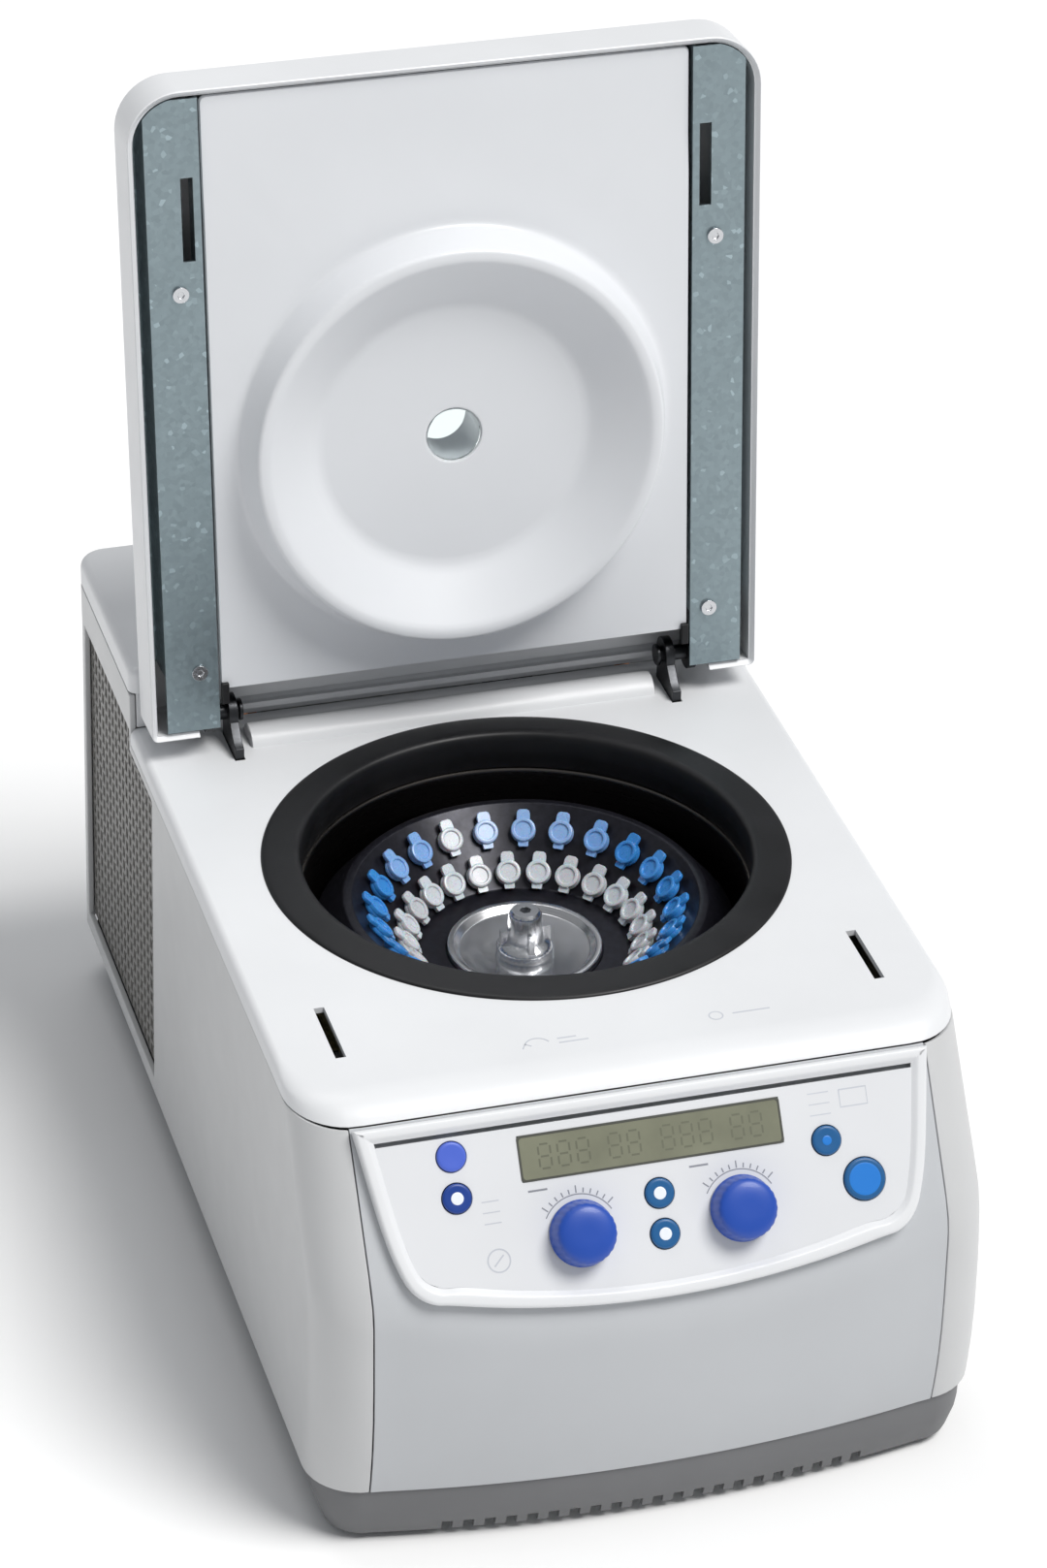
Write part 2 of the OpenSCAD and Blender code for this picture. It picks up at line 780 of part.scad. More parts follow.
// Outer ring of the rotor body with its tube holes, in sixteen sectors.
module rotor_ring() {
  foot_r = hub_z - cone_c + sector_gap;
  difference() {
    rotate_extrude() polygon([
      [foot_r, 126.9], [80, 131], [98, 144], [rotor_r, 151],
      [rotor_r, 181], [88.5, 197], [84.5, 197.5], [foot_r, foot_r + cone_c]]);
    for (k = [0:tubes_per_row - 1]) {
      in_row(outer_row_r, k * 360 / tubes_per_row)
        translate([0, 0, -tube_l - 0.4]) cylinder(r = hole_r, h = tube_l + 12);
      in_row(inner_row_r, (k + 0.5) * 360 / tubes_per_row)
        translate([0, 0, -tube_l - 0.4]) cylinder(r = hole_r, h = tube_l + 12);
    }
    for (a = [0:22.5:179]) rotate([0, 0, a])
      block(-rotor_r - 1, rotor_r + 1, -sector_gap / 2, sector_gap / 2,
            100, 210);
  }
}

module rotor_body() {
  color("black") at_bowl() {
    rotor_ring();
    rotate_extrude() polygon([
      [shaft_r + run_gap, 112], [20, 112], [34, 124],
      [hub_z - cone_c, 126.9], [hub_z - cone_c, hub_z], [hub_r, hub_z],
      [hub_r, 160], [shaft_r + run_gap, 160]]);
  }
}

module rotor_hub() {
  color("silver") at_bowl() rotate_extrude() polygon([
    [shaft_r + run_gap, 160], [hub_r, 160], [hub_r, hub_z + 2.6],
    [hub_r - 1, hub_z + 3.4], [hub_r - 3, hub_z + 3.4], [hub_r - 6, hub_z],
    [15, hub_z - 1.5], [shaft_r + run_gap, hub_z - 1.5]]);
}

module outer_tubes() {
  color("dodgerblue") at_bowl() for (k = [0:tubes_per_row - 1])
    if (k != round(sample_angle / 360 * tubes_per_row))
      in_row(outer_row_r, k * 360 / tubes_per_row) tube();
}

module inner_tubes() {
  color("white") at_bowl() for (k = [0:tubes_per_row - 1])
    in_row(inner_row_r, (k + 0.5) * 360 / tubes_per_row) tube();
}

module sample_tube() {
  color("lightblue") at_bowl() in_row(outer_row_r,
    round(sample_angle / 360 * tubes_per_row) * 360 / tubes_per_row) tube();
}

module rotor_nut() {
  color("silver") at_bowl() difference() {
    union() {
      rotate_extrude() polygon([
        [0, hub_z - 1.4], [14, hub_z - 1.4], [14, 168], [12.5, 170],
        [9.5, 172], [8, 186], [6.5, 188], [0, 188]]);
      for (a = [0:90:359]) rotate([0, 0, a])
        block(5, 12.6, -1.6, 1.6, 166, 178);
    }
    translate([0, 0, 160]) cylinder(r = stud_r + run_gap, h = 18);
    translate([0, 0, 182]) cylinder(r = 3, h = 10, $fn = 6);
  }
}

// ---------------------------------------------------------------- cooling

module compressor() {
  color("black") translate([-84, 204, 0]) {
    rotate_extrude() polygon([
      [0, 26], for (a = [-80:16:0]) [50 * cos(a), 46 + 20 * sin(a)],
      for (a = [0:16:80]) [50 * cos(a), 124 + 22 * sin(a)], [0, 146]]);
    for (a = [45:90:359]) rotate([0, 0, a]) {
      block(30, 62, -8, 8, 24, 28);
      post(56, 0, 13, 24, 6);
    }
  }
}

module condenser() {
  color("silver") {
    for (z = [48, 166]) block(106, 128, 146, 256, z, z + 4);
    for (y = [148:5:254]) block(106, 128, y, y + 0.8, 52, 166);
    for (z = [64:16:160]) rod_y(117, 143, 259, z, 4);
    for (z = [64:32:144])
      block(114, 120, 256, 261, z - 3, z + 19);
  }
  color("lightgray") block(106, 128, 150, 156, 13, 48);
  color("lightgray") block(106, 128, 246, 252, 13, 48);
}

module refrigerant_pipes() {
  color("peru") {
    post(-84, 204, 146.1, 190, 4);
    rod_x(-84, 117, 204, 190, 4);
    post(117, 204, 170, 190, 4);
    for (x = [-84, 117]) translate([x, 204, 190]) sphere(r = 4);
    post(-60, 190, 144, 180, 4);
    translate([-60, 190, 180]) sphere(r = 4);
    rod_y(-60, 97.5, 190, 180, 4);
  }
}

module fan_frame() {
  color("black") difference() {
    block(fan_x - 12, fan_x + 14, fan_y - 46, fan_y + 46, fan_z - 46, fan_z + 46);
    rod_x(fan_x - 20, fan_x + 20, fan_y, fan_z, fan_r + 2);
  }
  color("black") difference() {
    union() {
      rod_x(fan_x + 8, fan_x + 14, fan_y, fan_z, 16);
      for (a = [0:90:359]) translate([0, fan_y, fan_z]) rotate([a + 45, 0, 0])
        block(fan_x + 10, fan_x + 13, 14, 45, -2, 2);
    }
    rod_x(fan_x + 5, fan_x + 12, fan_y, fan_z, 3 + run_gap);
  }
  color("black") both_ends() block(fan_x - 10, fan_x + 12, -7, 7, 13, fan_z - 45.9);
}

module both_ends() {
  for (y = [fan_y - 36, fan_y + 36]) translate([0, y, 0]) children();
}

module fan_blades() {
  color("dimgray") {
    rod_x(fan_x - 8, fan_x + 7, fan_y, fan_z, 15);
    rod_x(fan_x, fan_x + 11.8, fan_y, fan_z, 3);
    translate([0, fan_y, fan_z]) for (a = [0:360 / 7:359])
      rotate([a, 0, 0]) translate([fan_x - 1, 0, 14]) rotate([0, 0, 35])
        translate([-1, -10, 0]) cube([2, 20, fan_r - 15]);
  }
}

// ---------------------------------------------------------------- electrics

module power_board() {
  color("darkgreen") block(-100, 100, -226, -168, 20, 21.6);
  color("gray") for (x = [-96, 96], y = [-222, -172]) post(x, y, 13, 20.1, 3);
  color("silver") {
    block(-96, -30, -222, -190, 21.5, 26);
    for (x = [-96:8:-34]) block(x, x + 2, -222, -190, 26 - eps, 52);
  }
  color("navy") for (x = [0, 30, 60]) post(x, -200, 21.5, 56, 12);
  color("black") block(78, 96, -222, -178, 21.5, 44);
}

module latch_brackets() {
  color("silver") both_sides() difference() {
    union() {
      block(118, 120, -152, -130, 182, 206);
      block(138.5, 140.5, -152, -130, 182, 206);
      block(118, 140.5, -152, -130, 180, 182);
      block(134, 140.5, -134, -130, 120, 181);
      block(134, hw - wall, -134, -130, 118, 122);
    }
  }
  color("gray") both_sides() rod_x(116.5, 142, hook_y, hook_z, 3);
}

module latch_motors() {
  color("dimgray") both_sides() {
    post(129, -143, 150, 178, 9);
    block(118, 140, -153, -135.5, 174, 180);
  }
}

// Latch hook, drawn raised and turned down to its open place.
module latch_hook(turn = 85) {
  translate([0, hook_y, hook_z]) rotate([turn, 0, 0]) difference() {
    union() {
      side_profile([[-6, 0], [-6, 27], [0, 31], [9, 32.5], [15.8, 30],
                    [15.2, 28.6], [8.5, 27.6], [6, 22], [6, 0]], 127.6, 130.2);
      rod_x(123, 135, 0, 0, 7);
    }
    rod_x(120, 140, 0, 0, 3 + run_gap);
  }
}

module left_latch_hook() {
  color("silver") mirror([1, 0, 0]) latch_hook();
}

module right_latch_hook() {
  color("silver") latch_hook();
}

// ---------------------------------------------------------------- output

base_pan();
skirt();
feet();
housing_shell();
front_panel();
top_cover();
rear_cover();
side_grilles();
rear_panel();
power_inlet();
power_rocker();
hinge_brackets();
hinge_pins();
hinge_strip();
control_tray();
panel_foil();
display_lens();
control_board();
time_knob();
speed_knob();
temp_up_key();
temp_down_key();
program_key();
short_key();
lid_key();
start_key();
chamber_gasket();
chamber_bowl();
chamber_insulation();
cooling_coil();
motor_housing();
motor_stator();
motor_bearings();
motor_dampers();
drive_shaft();
motor_core();
rotor_body();
rotor_hub();
outer_tubes();
inner_tubes();
rotor_nut();
sample_tube();
compressor();
condenser();
refrigerant_pipes();
fan_frame();
fan_blades();
power_board();
latch_brackets();
latch_motors();
left_latch_hook();
right_latch_hook();
lid_shell();
lid_liner();
left_rail();
right_rail();
lid_screws();
lid_bumpers();
window_glass();
hinge_arms();
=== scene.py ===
"""Looks of the refrigerated laboratory centrifuge: detailed meshes and materials around the CAD frame.

All shapes are worked out in millimetres in the frame of the CAD model (X right, Y back, Z up)
and turned into metres when their mesh is made.
"""
from math import asin, ceil, cos, dist, pi, radians, sin, sqrt

import bmesh
import bpy
from mathutils import Matrix, Vector


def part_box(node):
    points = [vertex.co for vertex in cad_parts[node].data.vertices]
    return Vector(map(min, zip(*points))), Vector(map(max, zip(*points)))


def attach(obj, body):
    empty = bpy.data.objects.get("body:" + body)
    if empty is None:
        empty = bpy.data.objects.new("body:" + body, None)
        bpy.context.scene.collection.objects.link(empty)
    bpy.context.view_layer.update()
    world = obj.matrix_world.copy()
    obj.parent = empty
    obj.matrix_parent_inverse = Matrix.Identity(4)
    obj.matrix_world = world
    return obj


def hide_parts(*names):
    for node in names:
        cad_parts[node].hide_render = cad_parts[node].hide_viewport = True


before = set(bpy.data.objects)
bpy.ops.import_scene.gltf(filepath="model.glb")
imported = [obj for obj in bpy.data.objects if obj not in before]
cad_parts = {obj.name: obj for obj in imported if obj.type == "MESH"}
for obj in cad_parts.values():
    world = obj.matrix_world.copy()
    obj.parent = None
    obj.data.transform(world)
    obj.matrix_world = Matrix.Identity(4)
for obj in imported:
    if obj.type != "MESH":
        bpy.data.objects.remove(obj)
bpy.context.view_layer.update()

MM = 0.001


def low(node):
    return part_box(node)[0] / MM


def high(node):
    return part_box(node)[1] / MM


# Casing, from the frame
DECK = high("top_cover").z
FOOT_HALF = high("housing_shell").x
COVER_HALF = high("rear_cover").x
FRONT = low("front_panel").y
REAR = high("housing_shell").y
SHELL_BOTTOM = low("housing_shell").z
HOUSING_TOP = high("housing_shell").z
REAR_TOP = high("rear_cover").z
REAR_FRONT = low("rear_cover").y
SEAM = high("front_panel").x
BOWL_Y = (low("chamber_gasket").y + high("chamber_gasket").y) / 2
GASKET_R = high("chamber_gasket").x

# Casing, from the design
GAP = 0.6
WALL = 3.0
CORNER_R = 28.0
REAR_CORNER_R = 14.0
CROWN_R = 700.0
COVER_EDGE = 211.5
PANEL_TOP = COVER_EDGE - GAP
DECK_FILLET = 4.0
NOSE_R = 25.0
NOSE_Y = -191.5
SLOPE_RISE = 1.531
SLOPE_STRETCH = 1.195
CREASE = 7.0
TUCK = 8.0
TUCK_TOP = 100.0
GRILLE_Y = (92.0, 252.0)
GRILLE_Z = (42.0, 206.0, 218.0)
OPEN_X = 141.0
HOLE_R = 124.0
LATCH_SLOT = ((126.8, -168.5, 200), (131.8, -126.5, 240))
HINGE_SLOT = ((110.6, 97, 200), (116, 128, 240))
GRILLE_PITCH = 8

# Control panel
PANEL_TILT = radians(56.8)
PANEL_ORIGIN = Vector((0, -217, 211))
ON_PANEL = Matrix.Translation(PANEL_ORIGIN) @ Matrix.Rotation(PANEL_TILT, 4, "X")
KNOB_X = 38.0
KNOB_S = 58.5

# Lid
HINGE = Vector((0, 118.5, 237))
LID_OPEN = radians(94.75)
LID_PLACE = Matrix.Translation(HINGE) @ Matrix.Rotation(-LID_OPEN, 4, "X") @ Matrix.Translation(-HINGE)
LID_HALF = high("lid_shell").x
LID_FRONT = HINGE.y - 330
LID_BACK = HINGE.y + 5.5
RIM_Z = 222.0
LINER_Z = 223.5
LID_CORNER_R = 26.0
SIGHT_R = 15.0

# Rotor
ROWS = {"outer": (74.0, 0.0), "inner": (59.0, 0.5)}
TUBES = 24
CONE = 113.0
SAMPLE_PLACE = 7
AT_BOWL = Matrix.Translation((0, BOWL_Y, 0))

# View and light: metres, degrees
CAMERA_AT = (-0.62005, -2.12598, 1.59745)
CAMERA_TURN = (16.37, 31.38, 0.94)
CAMERA_LENS = 123.33
KEY_FROM = (1.25, -1.2, 2.9)
KEY_STRENGTH = 2.7
KEY_SOFTNESS = 28


# ---- small maths


def mix(a, b, t):
    return a + (b - a) * t


def steps(a, b, count):
    """count + 1 values from a to b."""
    return [mix(a, b, k / count) for k in range(count + 1)]


def smooth_max(a, b, width):
    near = max(width - abs(a - b), 0) / width
    return max(a, b) + near * near * width / 4


def arc(cx, cy, radius, start, end, count):
    """Points on an arc, with its angles in degrees."""
    return [(cx + radius * cos(radians(a)), cy + radius * sin(radians(a)))
            for a in steps(start, end, count)]


def curve_through(points, count):
    """A smooth line through the points, with count pieces between each two."""
    padded = [points[0]] + list(points) + [points[-1]]
    out = []
    for a, b, c, d in zip(padded, padded[1:], padded[2:], padded[3:]):
        for k in range(count):
            t = k / count
            out.append(tuple(0.5 * (2 * q + (r - p) * t + (2 * p - 5 * q + 4 * r - s) * t * t
                                    + (3 * q - p - 3 * r + s) * t ** 3)
                             for p, q, r, s in zip(a, b, c, d)))
    return out + [tuple(points[-1])]


# ---- mesh making


class Maker:
    """Collects vertices and faces in millimetres."""

    def __init__(self):
        self.verts = []
        self.faces = []

    def loop(self, points):
        start = len(self.verts)
        self.verts.extend(Vector(p) for p in points)
        return list(range(start, len(self.verts)))

    def bridge(self, a, b, closed=True):
        last = len(a) if closed else len(a) - 1
        for k in range(last):
            n = (k + 1) % len(a)
            self.faces.append((a[k], a[n], b[n], b[k]))

    def stack(self, rows, closed=True, cap_first=False, cap_last=False):
        """Joins rows of points, each row with as many points as the next."""
        loops = [self.loop(row) for row in rows]
        for a, b in zip(loops, loops[1:]):
            self.bridge(a, b, closed)
        if cap_first:
            self.faces.append(tuple(reversed(loops[0])))
        if cap_last:
            self.faces.append(tuple(loops[-1]))
        return loops

    def turn(self, profile, segments=96, centre=(0, 0), flute=None):
        """Turns a profile of (radius, height) round the Z axis. A radius of 0 closes the end."""
        rows = []
        for radius, height in profile:
            row = []
            for k in range(segments):
                a = 2 * pi * k / segments
                r = max(radius, 0.01) * (flute(a, height) if flute else 1)
                row.append((centre[0] + r * cos(a), centre[1] + r * sin(a), height))
            rows.append(row)
        self.stack(rows, cap_first=profile[0][0] == 0, cap_last=profile[-1][0] == 0)

    def box(self, low_corner, high_corner):
        (x0, y0, z0), (x1, y1, z1) = low_corner, high_corner
        rows = [[(x0, y0, z), (x1, y0, z), (x1, y1, z), (x0, y1, z)] for z in (z0, z1)]
        self.stack(rows, cap_first=True, cap_last=True)

    def build(self, name, place=Matrix.Identity(4)):
        obj = mesh_object(name, [place @ v * MM for v in self.verts], self.faces)
        tidy_mesh(obj)
        return obj


def link(obj):
    bpy.context.scene.collection.objects.link(obj)
    return obj


def mesh_object(name, verts, faces):
    mesh = bpy.data.meshes.new(name)
    mesh.from_pydata(verts, [], faces)
    return link(bpy.data.objects.new(name, mesh))


def tidy_mesh(obj):
    """Joins doubled points, drops loose ones and turns the faces outwards."""
    work = bmesh.new()
    work.from_mesh(obj.data)
    bmesh.ops.remove_doubles(work, verts=work.verts, dist=0.01 * MM)
    loose = [v for v in work.verts if not v.link_faces]
    bmesh.ops.delete(work, geom=loose, context="VERTS")
    bmesh.ops.recalc_face_normals(work, faces=work.faces)
    work.to_mesh(obj.data)
    work.free()


def flip(obj):
    obj.data.flip_normals()


def thicken(obj, amount):
    """Gives a skin its wall, towards its inside."""
    solid = obj.modifiers.new("wall", "SOLIDIFY")
    solid.thickness = amount * MM
    solid.offset = -1
    solid.use_even_offset = True
    apply_modifiers(obj)


def round_edges(obj, width, segments=2, angle=40):
    bevel = obj.modifiers.new("round", "BEVEL")
    bevel.width = width * MM
    bevel.segments = segments
    bevel.limit_method = "ANGLE"
    bevel.angle_limit = radians(angle)
    bevel.use_clamp_overlap = True
    apply_modifiers(obj)


def cut(obj, maker, place=Matrix.Identity(4)):
    """Cuts a shape out of obj."""
    tool = maker.build("cutter", place)
    difference = obj.modifiers.new("cut", "BOOLEAN")
    difference.operation = "DIFFERENCE"
    difference.solver = "EXACT"
    difference.object = tool
    apply_modifiers(obj)
    bpy.data.objects.remove(tool)


def apply_modifiers(obj):
    bpy.context.view_layer.update()
    graph = bpy.context.evaluated_depsgraph_get()
    mesh = bpy.data.meshes.new_from_object(obj.evaluated_get(graph))
    obj.modifiers.clear()
    obj.data = mesh


def shade(obj, angle=38):
    """Smooth shading that stays flat on flat faces and sharp at hard edges."""
    mesh = obj.data
    mesh.polygons.foreach_set("use_smooth", [True] * len(mesh.polygons))
    mesh.set_sharp_from_angle(angle=radians(angle))
    weights = obj.modifiers.new("weights", "WEIGHTED_NORMAL")
    weights.keep_sharp = True
    weights.weight = 60
    apply_modifiers(obj)


def fit(obj, body, slot, material, *nodes):
    """Finishes a piece: shading, body, material and the CAD nodes that it stands for. The slot argument is
    not used.
    """
    shade(obj)
    obj.data.materials.clear()
    obj.data.materials.append(material)
    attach(obj, body)
    if nodes:
        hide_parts(*nodes)
    return obj


def cover_piece(obj, *nodes):
    return fit(obj, "casing", "cover_plastic", COVER, *nodes)


def rounded_copy(node, width, segments=2, angle=40):
    """A copy of a CAD node with its sharp edges rounded."""
    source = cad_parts[node]
    obj = link(bpy.data.objects.new(node + "_rounded", source.data.copy()))
    work = bmesh.new()
    work.from_mesh(obj.data)
    bmesh.ops.remove_doubles(work, verts=work.verts, dist=0.002 * MM)
    bmesh.ops.dissolve_limit(work, angle_limit=radians(0.6), verts=work.verts, edges=work.edges)
    work.to_mesh(obj.data)
    work.free()
    round_edges(obj, width, segments, angle)
    return obj


def swap(node, body, slot, material, width=0.4, segments=2, angle=40):
    """Shows a CAD node as a copy with rounded edges."""
    return fit(rounded_copy(node, width, segments, angle), body, slot, material, node)


def rounded_rect(x0, x1, y0, y1, r_front, r_back, count=8):
    """Loop of (x, y) round a rectangle with rounded corners."""
    points = []
    corners = [(x1 - r_back, y1 - r_back, r_back, 0), (x0 + r_back, y1 - r_back, r_back, 90),
               (x0 + r_front, y0 + r_front, r_front, 180), (x1 - r_front, y0 + r_front, r_front, 270)]
    for cx, cy, radius, start in corners:
        points += arc(cx, cy, max(radius, 0.05), start, start + 90, count)
    return points


def at_height(loop, z):
    """Lifts a loop of (x, y) to a height."""
    return [(x, y, z) for x, y in loop]


def densified(loop, longest):
    """Adds points along a closed loop's long straight stretches."""
    out = []
    for a, b in zip(loop, loop[1:] + loop[:1]):
        pieces = max(1, ceil(dist(a, b) / longest))
        out += [tuple(mix(p, q, k / pieces) for p, q in zip(a, b)) for k in range(pieces)]
    return out


def circle_facing(loop, centre, radius, z):
    """For each point of a loop, the point of a circle in its direction."""
    out = []
    for p in loop:
        away = Vector((p[0] - centre[0], p[1] - centre[1])).normalized() * radius
        out.append((centre[0] + away.x, centre[1] + away.y, z))
    return out


# ---- materials


def material(name, color, roughness, metallic=0.0, **sockets):
    """A Principled material; further sockets are given by name, with _ for a space."""
    made = bpy.data.materials.new(name)
    made.use_nodes = True
    shader = made.node_tree.nodes["Principled BSDF"]
    shader.inputs["Base Color"].default_value = (*color, 1)
    shader.inputs["Roughness"].default_value = roughness
    shader.inputs["Metallic"].default_value = metallic
    for key, value in sockets.items():
        shader.inputs[key.replace("_", " ")].default_value = value
    return made


def plug(made, source, socket):
    """Feeds a texture's result into one of the shader's sockets."""
    made.node_tree.links.new(source, made.node_tree.nodes["Principled BSDF"].inputs[socket])


def texture(made, kind, scale, stretch=(1, 1, 1), **settings):
    """Adds a texture in the object's own coordinates and returns its outputs."""
    nodes, links = made.node_tree.nodes, made.node_tree.links
    place = nodes.new("ShaderNodeTexCoord")
    mapping = nodes.new("ShaderNodeMapping")
    mapping.inputs["Scale"].default_value = stretch
    node = nodes.new(kind)
    node.inputs["Scale"].default_value = scale
    for key, value in settings.items():
        node.inputs[key.replace("_", " ")].default_value = value
    links.new(place.outputs["Object"], mapping.inputs["Vector"])
    links.new(mapping.outputs["Vector"], node.inputs["Vector"])
    return node.outputs


def noise(made, scale, stretch=(1, 1, 1), **settings):
    return texture(made, "ShaderNodeTexNoise", scale, stretch, **settings)["Fac"]


def cells(made, scale, result="Distance", **settings):
    return texture(made, "ShaderNodeTexVoronoi", scale, **settings)[result]


def ramp(made, source, stops):
    """Turns a texture's value into a value or colour by a ramp of (place, colour) stops."""
    node = made.node_tree.nodes.new("ShaderNodeValToRGB")
    made.node_tree.links.new(source, node.inputs["Fac"])
    elements = node.color_ramp.elements
    while len(elements) < len(stops):
        elements.new(0.5)
    for element, (place, color) in zip(elements, stops):
        element.position = place
        element.color = (*color, 1) if isinstance(color, tuple) else (color, color, color, 1)
    return node.outputs["Color"]


def tint(color, amount):
    return tuple(min(1, max(0, c * (1 + amount))) for c in color)


def vary_color(made, source, color, spread, start=0.3, end=0.7):
    stops = [(start, tint(color, -spread)), (end, tint(color, spread))]
    plug(made, ramp(made, source, stops), "Base Color")


def vary_roughness(made, source, lowest, highest):
    plug(made, ramp(made, source, [(0.25, lowest), (0.75, highest)]), "Roughness")


def add_bump(made, source, depth, strength=1.0, below=None):
    """Bump of a depth in millimetres."""
    bump = made.node_tree.nodes.new("ShaderNodeBump")
    bump.inputs["Distance"].default_value = depth * MM
    bump.inputs["Strength"].default_value = strength
    made.node_tree.links.new(source, bump.inputs["Height"])
    if below:
        made.node_tree.links.new(below.outputs["Normal"], bump.inputs["Normal"])
    plug(made, bump.outputs["Normal"], "Normal")
    return bump


def moulded(name, color, roughness, grain=900, depth=0.03, spread=0.02, **sockets):
    """Moulded plastic: a fine eroded grain, faint clouds in the colour and uneven gloss."""
    made = material(name, color, roughness, **sockets)
    clouds = noise(made, 14, Detail=4.0)
    vary_color(made, clouds, color, spread)
    smears = noise(made, 40, Detail=6.0, Roughness=0.65)
    vary_roughness(made, smears, roughness * 0.88, roughness * 1.12)
    fine = noise(made, grain, Detail=3.0)
    add_bump(made, fine, depth, 0.6)
    return made


def key_plastic(name, color, roughness=0.35):
    return moulded(name, color, roughness, 900, 0.02, 0.05)


def ink(name, color, roughness=0.5):
    return moulded(name, color, roughness, 900, 0.005, 0.1)


def painted(name, color, roughness, **sockets):
    """Sprayed paint on sheet metal: orange peel over a faint cloudiness."""
    made = material(name, color, roughness, Coat_Weight=0.15, Coat_Roughness=0.25, **sockets)
    clouds = noise(made, 9, Detail=3.0)
    vary_color(made, clouds, color, 0.03)
    peel = noise(made, 420, Detail=2.0)
    flow = noise(made, 60, Detail=2.0)
    under = add_bump(made, flow, 0.06, 0.25)
    add_bump(made, peel, 0.04, 0.5, under)
    vary_roughness(made, flow, roughness * 0.9, roughness * 1.1)
    return made


def brushed(name, color, roughness, stretch, depth=0.02, anisotropy=0.5):
    """Metal with fine lines along the axis that stretch keeps small."""
    made = material(name, color, roughness, 1.0, Anisotropic=anisotropy)
    lines = noise(made, 160, stretch, Detail=5.0, Roughness=0.7)
    vary_color(made, lines, color, 0.08)
    vary_roughness(made, lines, roughness * 0.75, roughness * 1.3)
    add_bump(made, lines, depth, 0.35)
    return made


def galvanised():
    """Zinc sheet: small crystals of slightly differing gloss, with rolling lines."""
    color = (0.27, 0.335, 0.36)
    made = material("galvanised", color, 0.36, 0.85)
    crystals = cells(made, 420, "Color", Randomness=1.0)
    stops = [(0.0, tint(color, -0.07)), (0.5, color), (0.95, tint(color, 0.05)), (1.0, tint(color, 0.5))]
    shade_of = made.node_tree.nodes.new("ShaderNodeSeparateColor")
    made.node_tree.links.new(crystals, shade_of.inputs["Color"])
    plug(made, ramp(made, shade_of.outputs["Red"], stops), "Base Color")
    vary_roughness(made, shade_of.outputs["Green"], 0.33, 0.41)
    lines = noise(made, 90, (14, 14, 0.6), Detail=4.0)
    add_bump(made, lines, 0.02, 0.4)
    return made


def rubber():
    color = (0.006, 0.006, 0.007)
    made = material("rubber", color, 0.5, Specular_IOR_Level=0.4)
    dust = noise(made, 30, Detail=8.0, Roughness=0.7)
    vary_color(made, dust, color, 0.5)
    vary_roughness(made, dust, 0.36, 0.56)
    fine = noise(made, 700, Detail=4.0)
    add_bump(made, fine, 0.05, 0.5)
    return made


def anodised():
    color = (0.012, 0.012, 0.018)
    made = material("anodised", color, 0.34, 0.5)
    rings = noise(made, 300, Detail=3.0)
    vary_color(made, rings, color, 0.3)
    wear = noise(made, 55, Detail=9.0, Roughness=0.75)
    vary_roughness(made, wear, 0.24, 0.44)
    add_bump(made, rings, 0.02, 0.3)
    return made


def tube_plastic(name, color, through):
    """Polypropylene: cloudy, waxy and lit from within. Each tube has its own colour value: its own tone, and
    on the blue tubes also painted light and shade.
    """
    made = material(name, color, 0.3, Subsurface_Weight=0.35, Subsurface_Scale=0.004,
                    Transmission_Weight=through, IOR=1.45, Coat_Weight=0.2, Coat_Roughness=0.15)
    own = made.node_tree.nodes.new("ShaderNodeAttribute")
    own.attribute_name = "tone_and_painted_light"
    # Low values deepen and high values pale the colour: on the blue tubes these are painted shade and
    # painted light.
    stops = [(0.0, tint(color, -0.35)), (0.5, color), (1.0, mix_color(color, (0.8, 0.88, 0.95), 0.55))]
    plug(made, ramp(made, own.outputs["Fac"], stops), "Base Color")
    cloudy = noise(made, 260, Detail=4.0)
    vary_roughness(made, cloudy, 0.2, 0.36)
    add_bump(made, cloudy, 0.03, 0.3)
    return made


def mix_color(a, b, t):
    return tuple(mix(p, q, t) for p, q in zip(a, b))


def display_material():
    """Reflective liquid crystal: cloudy olive grey over a fine grid of cells."""
    color = (0.2, 0.205, 0.145)
    made = material("display", color, 0.3, Coat_Weight=0.15, Coat_Roughness=0.1)
    clouds = noise(made, 45, Detail=5.0)
    vary_color(made, clouds, color, 0.12)
    add_bump(made, cells(made, 1200, Randomness=0.1), 0.01, 0.2)
    return made


def board_material():
    color = (0.02, 0.14, 0.06)
    made = material("circuit_board", color, 0.4, Coat_Weight=0.4)
    stops = [(0.1, (0.45, 0.36, 0.12)), (0.18, color), (0.6, tint(color, 0.4))]
    plug(made, ramp(made, cells(made, 350, Randomness=0.6), stops), "Base Color")
    return made


def foam_material():
    color = (0.72, 0.62, 0.36)
    made = material("foam", color, 0.9)
    bubbles = cells(made, 500)
    # The colour darkens towards each bubble's pit: painted shade in the pores, over the bump of the bubbles
    # themselves.
    vary_color(made, bubbles, color, 0.2, 0.0, 0.6)
    add_bump(made, bubbles, 0.4, 0.8)
    return made


def glass_material():
    made = material("window", (0.93, 0.97, 0.97), 0.03, Transmission_Weight=1.0, IOR=1.12)
    smears = noise(made, 50, Detail=6.0)
    vary_roughness(made, smears, 0.0, 0.08)
    return made


